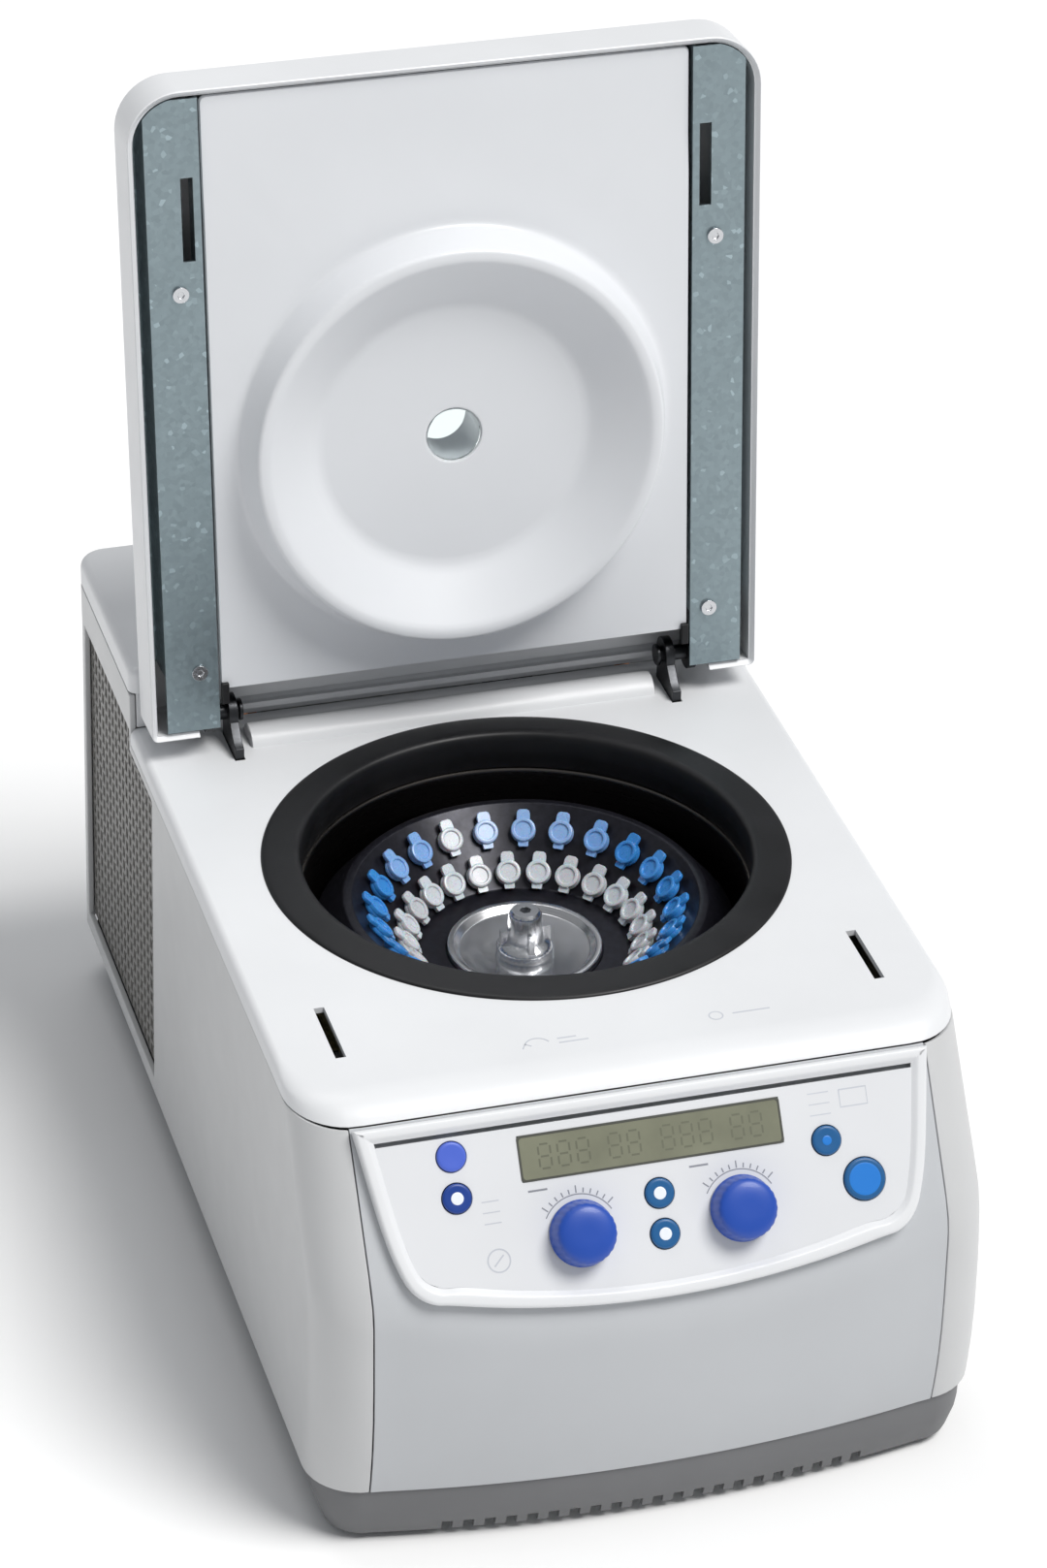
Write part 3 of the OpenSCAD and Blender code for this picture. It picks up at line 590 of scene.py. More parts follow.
COVER = moulded("cover_plastic", (0.735, 0.745, 0.76), 0.42, Coat_Weight=0.08)
HOUSING = painted("housing_paint", (0.545, 0.55, 0.555), 0.42)
PANEL = moulded("panel_plastic", (0.50, 0.515, 0.535), 0.4, Coat_Weight=0.08)
SKIRT = moulded("skirt_plastic", (0.15, 0.152, 0.158), 0.55, 700, 0.06, 0.06)
RUBBER = rubber()
ZINC = galvanised()
PLATED = brushed("plated_steel", (0.62, 0.63, 0.65), 0.22, (6, 6, 6), 0.01, 0.0)
DARK_ZINC = brushed("dark_zinc", (0.06, 0.062, 0.066), 0.36, (6, 6, 6), 0.01, 0.0)
STAINLESS = brushed("stainless", (0.13, 0.118, 0.108), 0.3, (0.6, 0.6, 22))
SHEET = brushed("sheet_steel", (0.55, 0.56, 0.57), 0.42, (1, 8, 8), 0.02, 0.2)
GRILLE = painted("grille_paint", (0.17, 0.165, 0.155), 0.5)
LINER = moulded("liner_plastic", (0.74, 0.755, 0.78), 0.36, 600, 0.02, 0.015, Coat_Weight=0.12)
ANODISED = anodised()
HUB = brushed("hub_aluminium", (0.66, 0.66, 0.67), 0.2, (0.5, 0.5, 18), 0.02, 0.6)
TUBE_BLUE = tube_plastic("tube_blue", (0.05, 0.29, 0.74), 0.15)
TUBE_CLEAR = tube_plastic("tube_clear", (0.72, 0.74, 0.78), 0.25)
KNOB_BLUE = moulded("knob_blue", (0.012, 0.068, 0.40), 0.4, 1100, 0.03, 0.08, Coat_Weight=0.1)
KEY_RING = key_plastic("key_navy", (0.008, 0.045, 0.26))
KEY_TEAL = key_plastic("key_teal", (0.01, 0.10, 0.27))
KEY_PALE = key_plastic("key_periwinkle", (0.07, 0.13, 0.58))
KEY_BRIGHT = key_plastic("key_bright", (0.015, 0.19, 0.62), 0.33)
KEY_WHITE = moulded("key_white", (0.8, 0.84, 0.9), 0.35, 900, 0.01, 0.02)
DISPLAY = display_material()
INK = ink("ink_grey", (0.25, 0.26, 0.29))
PALE_INK = ink("ink_pale", (0.55, 0.57, 0.62))
SEGMENT = ink("segment", (0.135, 0.14, 0.098), 0.4)
DISPLAY_EDGE = ink("display_edge", (0.07, 0.072, 0.06), 0.4)
FOIL = moulded("foil", (0.71, 0.72, 0.74), 0.38, 1500, 0.015, 0.02, Coat_Weight=0.05)
BOARD = board_material()
FOAM = foam_material()
COPPER = brushed("copper", (0.62, 0.30, 0.17), 0.3, (3, 3, 3), 0.02, 0.0)
CAST = moulded("cast_grey", (0.1, 0.105, 0.11), 0.6, 300, 0.2, 0.2)
BLACK_PAINT = painted("black_paint", (0.014, 0.014, 0.016), 0.3)
BLACK_PLASTIC = moulded("black_plastic", (0.016, 0.016, 0.018), 0.45, 800, 0.05, 0.2)
SWITCH = moulded("switch_green", (0.01, 0.2, 0.05), 0.25, 900, 0.01, 0.05, Coat_Weight=0.3)
WINDOW = glass_material()


# ---- casing surface


class Row:
    """One level of the casing's surface: its heights at front and side, and how far it stands in."""

    def __init__(self, z_front, slope, z_side, inset=0.0):
        self.z_front = z_front
        self.z_side = z_side
        self.slope = slope
        lean = min(max((z_side - SHELL_BOTTOM) / (DECK - SHELL_BOTTOM), 0), 1)
        self.half = mix(FOOT_HALF, COVER_HALF, lean) - inset
        self.reach = self.half - CORNER_R
        self.tuck = TUCK * max(1 - (z_front - SHELL_BOTTOM) / (TUCK_TOP - SHELL_BOTTOM), 0) ** 2.2
        on_slope = min(max((z_front - 115) / 45, 0), 1)
        self.depth_r = CORNER_R * mix(1, SLOPE_STRETCH, on_slope)

    def front_y(self, x):
        near = min(abs(x), self.reach)
        crown = CROWN_R - sqrt(CROWN_R ** 2 - near ** 2)
        y = smooth_max(FRONT + crown + self.tuck, self.slope, CREASE)
        over = min(max(abs(x) - self.reach, 0) / CORNER_R, 1)
        return y + self.depth_r * (1 - sqrt(1 - over * over))

    def front(self, x):
        over = min(max(abs(x) - self.reach, 0) / CORNER_R, 1)
        return (x, self.front_y(x), mix(self.z_front, self.z_side, over * over))

    def side_start(self):
        return self.front_y(self.half)

    def side(self, sign, y):
        return (sign * self.half, y, self.z_side)

    def corner(self, sign, x_start, count):
        """Points round the corner, from the seam to the side."""
        first = asin(max((x_start - self.reach) / CORNER_R, 0))
        return [self.front(sign * (self.reach + CORNER_R * sin(a)))
                for a in steps(first, pi / 2, count)]


def plain_row(z):
    return Row(z, -213.7 - (208.8 - z) / SLOPE_RISE, z)


def nose_angle(z):
    """Angle on the nose's arc at a height, from level."""
    return asin(1 - (DECK - z) / NOSE_R)


def nose_rows():
    """Levels that roll the walls over into the deck."""
    side = [(COVER_EDGE, 0.0), (COVER_EDGE + 2.5, 0.0), (DECK - DECK_FILLET, 0.0)]
    side += [(DECK - DECK_FILLET + DECK_FILLET * sin(a), DECK_FILLET * (1 - cos(a)))
             for a in steps(pi / 10, pi / 2, 4)]
    front = [(NOSE_Y - NOSE_R * cos(a), DECK - NOSE_R * (1 - sin(a)))
             for a in steps(nose_angle(COVER_EDGE), pi / 2, len(side) - 1)]
    return [Row(z_front, y, z_side, inset) for (z_side, inset), (y, z_front) in zip(side, front)]


def front_columns():
    return steps(-SEAM, SEAM, 40)


def panel_window():
    """The opening behind the control panel."""
    opening = Maker()
    opening.box((-112, -79, -16), (112, -8, 2))
    return opening


def front_panel():
    skin = Maker()
    levels = [SHELL_BOTTOM, 36, 42, 52, 65, 80, 95, 105, 112, 118, 124, 130, 136, 142, 150, 160, 170,
              180, 190, 198, 204]
    rows = [plain_row(z) for z in levels]
    rows.append(Row(PANEL_TOP, NOSE_Y - NOSE_R * cos(nose_angle(PANEL_TOP)), PANEL_TOP))
    skin.stack([[row.front(x) for x in front_columns()] for row in rows], closed=False)
    obj = skin.build("front_panel_skin")
    face_out(obj, Vector((0, -1, 0)))
    thicken(obj, WALL)
    cut(obj, panel_window(), ON_PANEL)
    round_edges(obj, 0.7, 3, 50)
    fit(obj, "casing", "panel_plastic", PANEL, "front_panel")


def face_out(obj, direction):
    """Turns an open skin so that its first face looks along direction."""
    if obj.data.polygons[0].normal.dot(direction) < 0:
        flip(obj)


def housing_side(skin, sign):
    levels = [SHELL_BOTTOM, 35, GRILLE_Z[0], 58, 78, 98, 108, 116, 124, 132, 142, 155, 170, 188,
              GRILLE_Z[1], COVER_EDGE - GAP, GRILLE_Z[2], HOUSING_TOP]
    stations = [GRILLE_Y[0], REAR_FRONT + 0.5, 144, 180, 216, GRILLE_Y[1], REAR - REAR_CORNER_R]
    cover_row = levels.index(COVER_EDGE - GAP)
    loops = []
    for z in levels:
        row = plain_row(min(z, COVER_EDGE - GAP))
        points = row.corner(sign, SEAM + GAP, 10)
        points += [row.side(sign, y) for y in steps(row.side_start(), stations[0], 4)[1:-1]]
        points += [row.side(sign, y) for y in stations]
        turn = arc(row.half - REAR_CORNER_R, REAR - REAR_CORNER_R, REAR_CORNER_R, 0, 90, 8)[1:]
        points += [(sign * x, y, z) for x, y in turn]
        points.append((sign * OPEN_X, REAR, z))
        loops.append(skin.loop([(x, y, z) for x, y, _ in points]))
    for k, (a, b) in enumerate(zip(loops, loops[1:])):
        for m in range(len(a) - 1):
            ys = [skin.verts[a[m]].y, skin.verts[a[m + 1]].y]
            in_grille = GRILLE_Y[0] <= min(ys) and max(ys) <= GRILLE_Y[1]
            if in_grille and GRILLE_Z[0] <= levels[k] < GRILLE_Z[1]:
                continue
            if in_grille and min(ys) >= 144 and GRILLE_Z[1] <= levels[k] < GRILLE_Z[2]:
                continue
            if k >= cover_row and min(ys) < REAR_FRONT:
                continue
            skin.faces.append((a[m], a[m + 1], b[m + 1], b[m]))


def housing_shell():
    for sign, side in ((-1, "left"), (1, "right")):
        skin = Maker()
        housing_side(skin, sign)
        obj = skin.build(f"housing_{side}_wall")
        face_out(obj, Vector((0, -1, 0)))
        thicken(obj, WALL)
        round_edges(obj, 0.7, 2, 50)
        fit(obj, "casing", "housing_paint", HOUSING, "housing_shell")


def top_cover():
    skin = Maker()
    rows = nose_rows()
    side_pieces = 6

    def full_row(row):
        left = [row.side(-1, y) for y in steps(REAR_FRONT, row.side_start(), side_pieces)[:-1]]
        left += list(reversed(row.corner(-1, SEAM, 10)))[:-1]
        right = [(-x, y, z) for x, y, z in reversed(left)]
        return left + [row.front(x) for x in front_columns()] + right

    loops = skin.stack([full_row(row) for row in rows], closed=False)
    edge = [skin.verts[k] for k in loops[-1]]
    back = [(x, REAR_FRONT, DECK) for x in steps(edge[-1].x, edge[0].x, 16)[1:-1]]
    outer = loops[-1] + skin.loop(back)
    inner = skin.loop(circle_facing([skin.verts[k] for k in outer], (0, BOWL_Y), HOLE_R, DECK))
    skin.bridge(outer, inner)
    obj = skin.build("top_cover_skin")
    face_out(obj, Vector((-1, 0, 0)))
    thicken(obj, WALL)
    openings = Maker()
    for a, b in (LATCH_SLOT, HINGE_SLOT):
        openings.box(a, b)
        openings.box((-b[0], a[1], a[2]), (-a[0], b[1], b[2]))
    cut(obj, openings)
    round_edges(obj, 0.5, 2, 50)
    cover_piece(obj, "top_cover")


def cap_levels(base, first):
    """Height and inset of a cap's levels, from its lower edge over its rounded shoulder."""
    fillet = 4.5
    levels = [(base, 0.5), (base + 0.5, 0.0), (base + first, 0.0), (REAR_TOP - fillet, 0.0)]
    return levels + [(REAR_TOP - fillet + fillet * sin(a), fillet * (1 - cos(a)))
                     for a in steps(pi / 12, pi / 2, 5)]


def rear_cover():
    """The cap over the housing behind the lid, with its front wall."""
    cap = Maker()
    base = HOUSING_TOP + GAP
    levels = cap_levels(base, 5) + [(REAR_TOP, 16), (REAR_TOP, 40)]
    rows = []
    for z, inset in levels:
        r_back = max(REAR_CORNER_R - inset, 1)
        loop = rounded_rect(-COVER_HALF + inset, COVER_HALF - inset, REAR_FRONT + inset, REAR - inset,
                            max(5 - inset, 0.5), r_back)
        rows.append(at_height(loop, z))
    cap.stack(rows, cap_last=True)
    obj = cap.build("rear_cap")
    face_out(obj, Vector(obj.data.polygons[0].center.x * Vector((1, 0, 0)) + Vector((0, 0.2, 0))))
    thicken(obj, WALL)
    round_edges(obj, 0.5, 2, 50)
    cover_piece(obj, "rear_cover")
    front = Maker()
    front.box((-156.2, REAR_FRONT + 0.4, DECK + 0.2), (156.2, REAR_FRONT + WALL, base + 1))
    wall = front.build("rear_front_wall")
    round_edges(wall, 0.4)
    cover_piece(wall, "rear_cover")


def skirt_row(z, inset):
    """One level of the skirt's plan: bowed front, straight sides and back, round corners."""
    half = FOOT_HALF - inset
    straight = FOOT_HALF - CORNER_R
    front = FRONT + TUCK * 0.55 + inset
    row = [(x, front + CROWN_R - sqrt(CROWN_R ** 2 - x * x), z)
           for x in steps(-straight, straight, 30)]
    r = half - straight
    corner_y = row[-1][1] + r
    right = at_height(arc(straight, corner_y, r, -78, 0, 10), z)
    back_r = REAR_CORNER_R - inset / 2
    back_y = REAR - inset
    right += [(half, y, z) for y in steps(corner_y, back_y - back_r, 7)[1:-1]]
    right += at_height(arc(half - back_r, back_y - back_r, back_r, 0, 90, 6), z)
    left = [(-x, y, z) for x, y, z in reversed(right)]
    return row + right + left


def skirt():
    """The dark band under the walls, with air slots along its front edge."""
    band = Maker()
    profile = [(33, 4.9), (32, 4.6), (29, 4.5), (22, 4.7), (17, 5.4), (12, 7.0), (7, 8.6), (4.6, 9.6),
               (4, 10.6), (4, 12.0), (10, 11.4), (16, 8.6), (24, 7.2), (33, 7.0)]
    rows = [skirt_row(z, inset) for z, inset in profile]
    band.stack(rows + rows[:1])
    obj = band.build("skirt_band")
    slots = Maker()
    for k in range(-10, 11):
        slots.box((10 * k - 2.5, -300, -1), (10 * k + 2.5, -205, 10))
    cut(obj, slots)
    round_edges(obj, 0.4, 2, 50)
    fit(obj, "casing", "skirt_plastic", SKIRT, "skirt")


def feet():
    pads = Maker()
    for x in (-118, 118):
        for y in (-196, 214):
            pads.turn([(0, 0.4), (9, 0.4), (10, 0), (13.8, 0), (15, 1), (15, 2.4), (14, 3), (12.4, 3.4),
                       (12, 5), (12, 10), (0, 10)], 48, (x, y))
    fit(pads.build("rubber_feet"), "casing", "black_rubber", RUBBER, "feet")


def perforated_cell(sheet, y, z, x_at, depth):
    """One square cell of the grille round a rounded hole, with a shallow rim."""
    hole = rounded_rect(y - 2.2, y + 2.2, z - 2.6, z + 2.6, 0.9, 0.9, 2)
    edge = []
    for py, pz in hole:
        scale = max(abs(py - y), abs(pz - z)) / (GRILLE_PITCH / 2)
        edge.append((y + (py - y) / scale, z + (pz - z) / scale))
    lip = [(y + (py - y) * 1.12, z + (pz - z) * 1.12) for py, pz in hole]
    rows = [[(x_at(pz), py, pz) for py, pz in edge], [(x_at(pz), py, pz) for py, pz in lip],
            [(x_at(pz) - 0.5, py, pz) for py, pz in hole],
            [(x_at(pz) - depth, py, pz) for py, pz in hole]]
    sheet.stack(rows)


def grilles():
    """Perforated plates just behind the side walls."""
    depth = 1.2
    for sign, side in ((-1, "left"), (1, "right")):
        sheet = Maker()

        def x_at(z):
            lean = min((z - SHELL_BOTTOM) / (DECK - SHELL_BOTTOM), 1)
            return mix(FOOT_HALF, COVER_HALF, lean) - WALL - 0.4

        for row in range(22):
            for column in range(20):
                y = GRILLE_Y[0] + GRILLE_PITCH * (column + 0.5)
                z = GRILLE_Z[0] + GRILLE_PITCH * (row + 0.5)
                if z > GRILLE_Z[1] + 2 and y < 150:
                    continue
                perforated_cell(sheet, y, z, x_at, depth)
        obj = sheet.build(f"grille_{side}", Matrix.Scale(sign, 4, (1, 0, 0)))
        fit(obj, "casing", "grille_paint", GRILLE, "side_grilles")


def back():
    swap("rear_panel", "casing", "sheet_steel", SHEET, 0.3)
    swap("power_inlet", "casing", "black_plastic", BLACK_PLASTIC, 0.5)
    swap("power_rocker", "switch", "switch_green", SWITCH, 0.5, 3)
    swap("base_pan", "casing", "sheet_steel", SHEET, 0.5)


# ---- control panel


def tray_outline(inset):
    """The tray's outline in the panel's plane, set in from its edge."""
    i = inset
    right = [(136 - i, 2 - i * 0.9), (135 - i, -4), (128.7 - i, -43), (123.6 - i, -63),
             (118.5 - i * 0.95, -73.5 + i * 0.45), (111 - i * 0.9, -79.6 + i * 0.8),
             (101 - i * 0.85, -81.8 + i)]
    bottom = [(x * (1 - i * 0.008), -93 + i + 11.2 * (x / 101) ** 2) for x in (80, 60, 40, 20, 0)]
    line = curve_through(right + bottom, 5)
    left = [(-x, y) for x, y in reversed(line[:-1])]
    top = [(x, 2 - i * 0.9) for x in steps(-136 + i, 136 - i, 20)[1:-1]]
    return line + left + top


def control_tray():
    rim = Maker()
    profile = [(0.0, -3.8), (0.0, 0.6), (0.25, 1.4), (0.8, 2.05), (1.6, 2.4), (4.2, 2.4), (5.0, 2.1),
               (5.8, 1.55), (6.5, 1.0), (7.2, 0.62), (7.6, 0.3), (7.6, -0.4), (6.3, -1.2),
               (6.3, -3.8)]
    rows = [at_height(tray_outline(inset), z) for inset, z in profile]
    rim.stack(rows + rows[:1])
    obj = rim.build("control_tray_rim", ON_PANEL)
    cover_piece(obj, "control_tray")
    foil = rounded_copy("panel_foil", 0.25, 2)
    fit(foil, "casing", "foil", FOIL, "panel_foil")


def display():
    """The display: a dark edge, the crystal sheet and its faint blank segments."""
    x, s0, s1 = 61.7, 11.6, 31.5
    glass = Maker()
    rows = [at_height(rounded_rect(-x + inset, x - inset, -s1 + inset, -s0 - inset, 1.2, 1.2, 4), z)
            for z, inset in ((-1.4, 0), (0.5, 0), (0.75, 0.25))]
    glass.stack(rows, cap_first=True, cap_last=True)
    fit(glass.build("display_sheet", ON_PANEL), "casing", "display", DISPLAY, "display_lens")
    edge = Maker()
    outline = [at_height(rounded_rect(-x - grow, x + grow, -s1 - grow, -s0 + grow, 1.5, 1.5, 4), z)
               for z, grow in ((0.4, 0.6), (0.95, 0.5), (0.95, -0.3), (0.7, -0.5), (0.4, -0.5))]
    edge.stack(outline + outline[:1])
    fit(edge.build("display_edge", ON_PANEL), "casing", "display", DISPLAY_EDGE)
    segments = Maker()
    for centre in (-50, -41, -32, -17, -8, 8, 17, 26, 41, 50):
        segment_block(segments, centre, -(s0 + s1) / 2)
    fit(segments.build("display_segments", ON_PANEL), "casing", "display", SEGMENT)


def segment_block(plate, x, y):
    """Seven thin bars round one blank place of the display."""
    wide, tall, bar = 5.6, 11.0, 0.9
    z0, z1 = 0.72, 0.80
    for dy in (-tall / 2, 0, tall / 2):
        plate.box((x - wide / 2 + bar, y + dy - bar / 2, z0), (x + wide / 2 - bar, y + dy + bar / 2, z1))
    for dx in (-wide / 2, wide / 2):
        for dy in (-tall / 4, tall / 4):
            plate.box((x + dx - bar / 2, y + dy - tall / 4 + bar, z0),
                      (x + dx + bar / 2, y + dy + tall / 4 - bar, z1))


def knob(name, x, body, node):
    """A setting knob with a faintly fluted grip, a sloping side and a domed top."""
    radius, height = 15.4, 13.9

    def flute(angle, z):
        grip = max(0, min((z - 2.2) / 1.5, (12.2 - z) / 1.5, 1))
        return 1 - 0.02 * grip * (0.5 + 0.5 * cos(angle * 24)) ** 2

    cap = Maker()
    profile = [(0, 1.3), (radius - 1.2, 1.3), (radius - 0.2, 1.4), (radius, 1.9), (radius - 0.1, 2.4),
               (radius - 0.5, 3.2), (radius - 0.7, 5), (radius - 1.0, 8), (radius - 1.4, 10.6),
               (radius - 1.9, 11.8), (radius - 2.8, 12.6), (radius - 4.2, 13.2), (radius - 6.2, 13.6),
               (radius - 8.5, height), (4, height), (0, height)]
    cap.turn(profile, 144, flute=flute)
    cap.turn([(0, -11.4), (2.9, -11.4), (2.9, 1.4), (0, 1.4)], 32)
    place = ON_PANEL @ Matrix.Translation((x, -KNOB_S, 0))
    fit(cap.build(name, place), body, "knob_blue", KNOB_BLUE, node)


def key_cap(node, body, x, s, radius, ring, centre, centre_r):
    """A round key with a softened rim and, on some, a pale raised centre."""
    place = ON_PANEL @ Matrix.Translation((x, -s, 0))
    cap = Maker()
    cap.turn([(0, -8.4), (1.9, -8.4), (1.9, -3.9), (radius - 0.1, -3.9), (radius, -3.6), (radius, 1.2),
              (radius - 0.25, 1.65), (radius - 0.8, 1.9), (radius - 1.6, 1.95), (radius * 0.55, 1.85),
              (0, 1.8)], 64)
    fit(cap.build(node + "_cap", place), body, "key_blue", ring, node)
    if centre_r:
        dot = Maker()
        dot.turn([(0, 1.7), (centre_r, 1.7), (centre_r, 1.9), (centre_r - 0.3, 1.99),
                  (centre_r - 1.0, 1.99), (0, 1.96)], 40)
        fit(dot.build(node + "_centre", place), body, "key_blue", centre)


def keys():
    """Six keys: their place on the panel, extra radius, ring, centre and the centre's radius."""
    r = (high("temp_up_key").x - low("temp_up_key").x) / 2
    for node, body, x, s, extra, ring, centre, centre_r in (
            ("temp_up_key", "temp_up", -93, 15.6, 0, KEY_PALE, KEY_PALE, 0),
            ("temp_down_key", "temp_down", -93, 34.5, 0, KEY_RING, KEY_WHITE, 2.9),
            ("program_key", "program", 0.5, 46, 0, KEY_TEAL, KEY_WHITE, 2.9),
            ("short_key", "short_spin", 0.5, 64.6, 0, KEY_TEAL, KEY_WHITE, 2.9),
            ("lid_key", "lid_release", 82, 34, 0, KEY_TEAL, KEY_BRIGHT, 2.2),
            ("start_key", "start", 97.5, 54, 3, KEY_TEAL, KEY_BRIGHT, 7.6)):
        key_cap(node, body, x, s, r + extra, ring, centre, centre_r)


def strip(plate, points, width, z0, z1):
    """A thin printed line through points in the panel's plane."""
    left, right = [], []
    for k, p in enumerate(points):
        a = Vector(points[max(k - 1, 0)])
        b = Vector(points[min(k + 1, len(points) - 1)])
        along = (b - a).normalized()
        across = Vector((-along.y, along.x)) * width / 2
        left.append(Vector(p) + across)
        right.append(Vector(p) - across)
    rows = [[(l.x, l.y, z0), (l.x, l.y, z1), (r.x, r.y, z1), (r.x, r.y, z0)] for l, r in zip(left, right)]
    plate.stack(rows, cap_first=True, cap_last=True)


def panel_prints():
    """Generic printed marks: arcs of ticks over the knobs, short bars and plain outlines."""
    z0, z1 = 0.5, 0.66
    dark = Maker()
    for x in (-KNOB_X, KNOB_X):
        for k, a in enumerate(steps(40, 140, 10)):
            reach = 20.6 if k % 5 else 21.8
            d = Vector((cos(radians(a)), sin(radians(a))))
            centre = Vector((x, -KNOB_S))
            strip(dark, [centre + d * 18.4, centre + d * reach], 0.6, z0, z1)
        strip(dark, arc(x, -KNOB_S, 17.8, 30, 150, 24), 0.5, z0, z1)
        strip(dark, [(x - 22, -36.4), (x - 13, -36.4)], 0.9, z0, z1)
    fit(dark.build("panel_prints_dark", ON_PANEL), "casing", "foil", INK)
    pale = Maker()
    strip(pale, arc(-77.6, -65, 5.2, 0, 360, 32), 0.7, z0, z1)
    strip(pale, [(-80, -67.4), (-75.2, -62.6)], 0.7, z0, z1)
    strip(pale, densified([(91, -12), (104, -12), (104, -20), (91, -20)], 13) + [(91, -12)], 0.7, z0, z1)
    for s in (-12, -17, -22):
        strip(pale, [(76, s), (86, s)], 0.5, z0, z1)
    for s in (38, 43, 48):
        strip(pale, [(-82, -s), (-74, -s)], 0.5, z0, z1)
    fit(pale.build("panel_prints_pale", ON_PANEL), "casing", "foil", PALE_INK)


def deck_prints():
    """Plain marks on the deck: an open-lid arc with its arrow head, and two short bars."""
    z0, z1 = DECK, DECK + 0.08
    marks = Maker()
    strip(marks, arc(-40, -182, 6, 20, 160, 16), 0.7, z0, z1)
    strip(marks, [(-47.5, -183), (-45.6, -179.6), (-43, -181.6)], 0.7, z0, z1)
    strip(marks, [(-30, -182), (-16, -182)], 0.9, z0, z1)
    strip(marks, [(-30, -178.5), (-21, -178.5)], 0.9, z0, z1)
    strip(marks, arc(46, -179, 3.2, 0, 360, 20), 0.7, z0, z1)
    strip(marks, [(54, -179), (72, -179)], 0.9, z0, z1)
    fit(marks.build("deck_prints"), "casing", "cover_plastic", PALE_INK)


# ---- chamber and rotor


def chamber():
    seal = Maker()
    z = DECK
    seal.turn([(GASKET_R, z + 0.05), (GASKET_R - 0.2, z + 0.7), (GASKET_R - 0.9, z + 1.25),
               (GASKET_R - 2.4, z + 1.6), (122, z + 1.95), (118, z + 2.3), (115, z + 2.5),
               (112.6, z + 2.6), (110.8, z + 2.4), (109.7, z + 1.8), (109, z + 0.9), (108.6, z - 0.6),
               (108.5, z - 2.5), (108.5, 213), (108.8, 210), (109.1, 207), (109.2, 204.4),
               (109.2, 203.2), (112, 203.2), (112.3, 207.5), (114, 213.2), (117.5, 217.2),
               (HOLE_R - 0.2, 217.5), (HOLE_R - 0.2, z - 0.1), (GASKET_R - 0.4, z + 0.02),
               (GASKET_R, z + 0.05)], 192, (0, BOWL_Y))
    fit(seal.build("gasket"), "casing", "black_rubber", RUBBER, "chamber_gasket")
    bowl = Maker()
    r = 107.4
    fillet = [(r - 5 + 5 * cos(a), 92 - 5 * sin(a)) for a in steps(0, pi / 2, 8)]
    bowl.turn([(114, 203), (110, 203), (108.4, 202.7), (r, 201.4), (r, 192)] + fillet
              + [(70, 87), (44, 87), (41, 88), (31.5, 100.6), (30, 101.5), (22.6, 101.5), (22.6, 100),
                 (30.3, 100), (42.3, 85.5), (103, 85.5), (r + 1.5, 90.5), (r + 1.5, 201.5), (114, 201.5),
                 (114, 203)], 160, (0, BOWL_Y))
    fit(bowl.build("bowl"), "casing", "stainless", STAINLESS, "chamber_bowl")


def tube_place(row, k):
    radius, shift = ROWS[row]
    turn = Matrix.Rotation(2 * pi * (k + shift) / TUBES, 4, "Z")
    lean = Matrix.Rotation(radians(-45), 4, "Y") @ Matrix.Rotation(radians(-90), 4, "Z")
    return AT_BOWL @ turn @ Matrix.Translation((radius, 0, radius + CONE)) @ lean


def add_tube(rack, place):
    """A 1.5 ml tube with its snap cap: collar, cap with a sunk centre, hinge strap and thumb tab."""
    r = 5.4
    one = Maker()
    body = [(0, -36), (1.1, -35.9), (1.9, -35.2), (2.4, -34), (r - 0.35, -17), (r - 0.1, -15.4), (r, -14),
            (r, 0.6), (6.15, 0.75), (6.3, 1.0), (6.3, 2.1), (6.2, 2.35), (5.9, 2.45), (5.9, 2.6),
            (6.15, 2.75), (6.2, 3.0), (6.15, 4.2), (5.9, 4.75), (5.4, 5.0), (4.5, 5.0), (4.2, 4.8),
            (4.05, 4.2), (3.9, 4.05), (0, 4.05)]
    one.turn(body, 28)
    tab = [(-3.4, 5.2), (3.4, 5.2), (3.35, 8.2), (2.9, 9.6), (1.7, 10.3), (-1.7, 10.3), (-2.9, 9.6),
           (-3.35, 8.2)]
    one.stack([[(x * s, 5.2 + (y - 5.2) * s, z) for x, y in tab]
               for z, s in ((2.62, 0.94), (2.9, 1.0), (4.2, 1.0), (4.55, 0.94))],
              cap_first=True, cap_last=True)
    hinge = [(-2.6, 5.2), (2.6, 5.2), (2.5, 7.9), (2.1, 8.4), (-2.1, 8.4), (-2.5, 7.9)]
    one.stack([[(x, -y, z) for x, y in hinge] for z in (1.45, 1.7, 3.1, 3.35)],
              cap_first=True, cap_last=True)
    start = len(rack.verts)
    rack.verts.extend(place @ v for v in one.verts)
    rack.faces.extend(tuple(i + start for i in face) for face in one.faces)
    return len(one.verts)


def rack_of_tubes(name, row, places, body, slot, finish, node, shade_at):
    rack = Maker()
    shades = []
    for k in places:
        count = add_tube(rack, tube_place(row, k))
        shades += [shade_at(k)] * count
    obj = mesh_object(name, [v * MM for v in rack.verts], rack.faces)
    own = obj.data.attributes.new("tone_and_painted_light", "FLOAT", "POINT")
    own.data.foreach_set("value", shades)
    fit(obj, body, slot, finish, node)


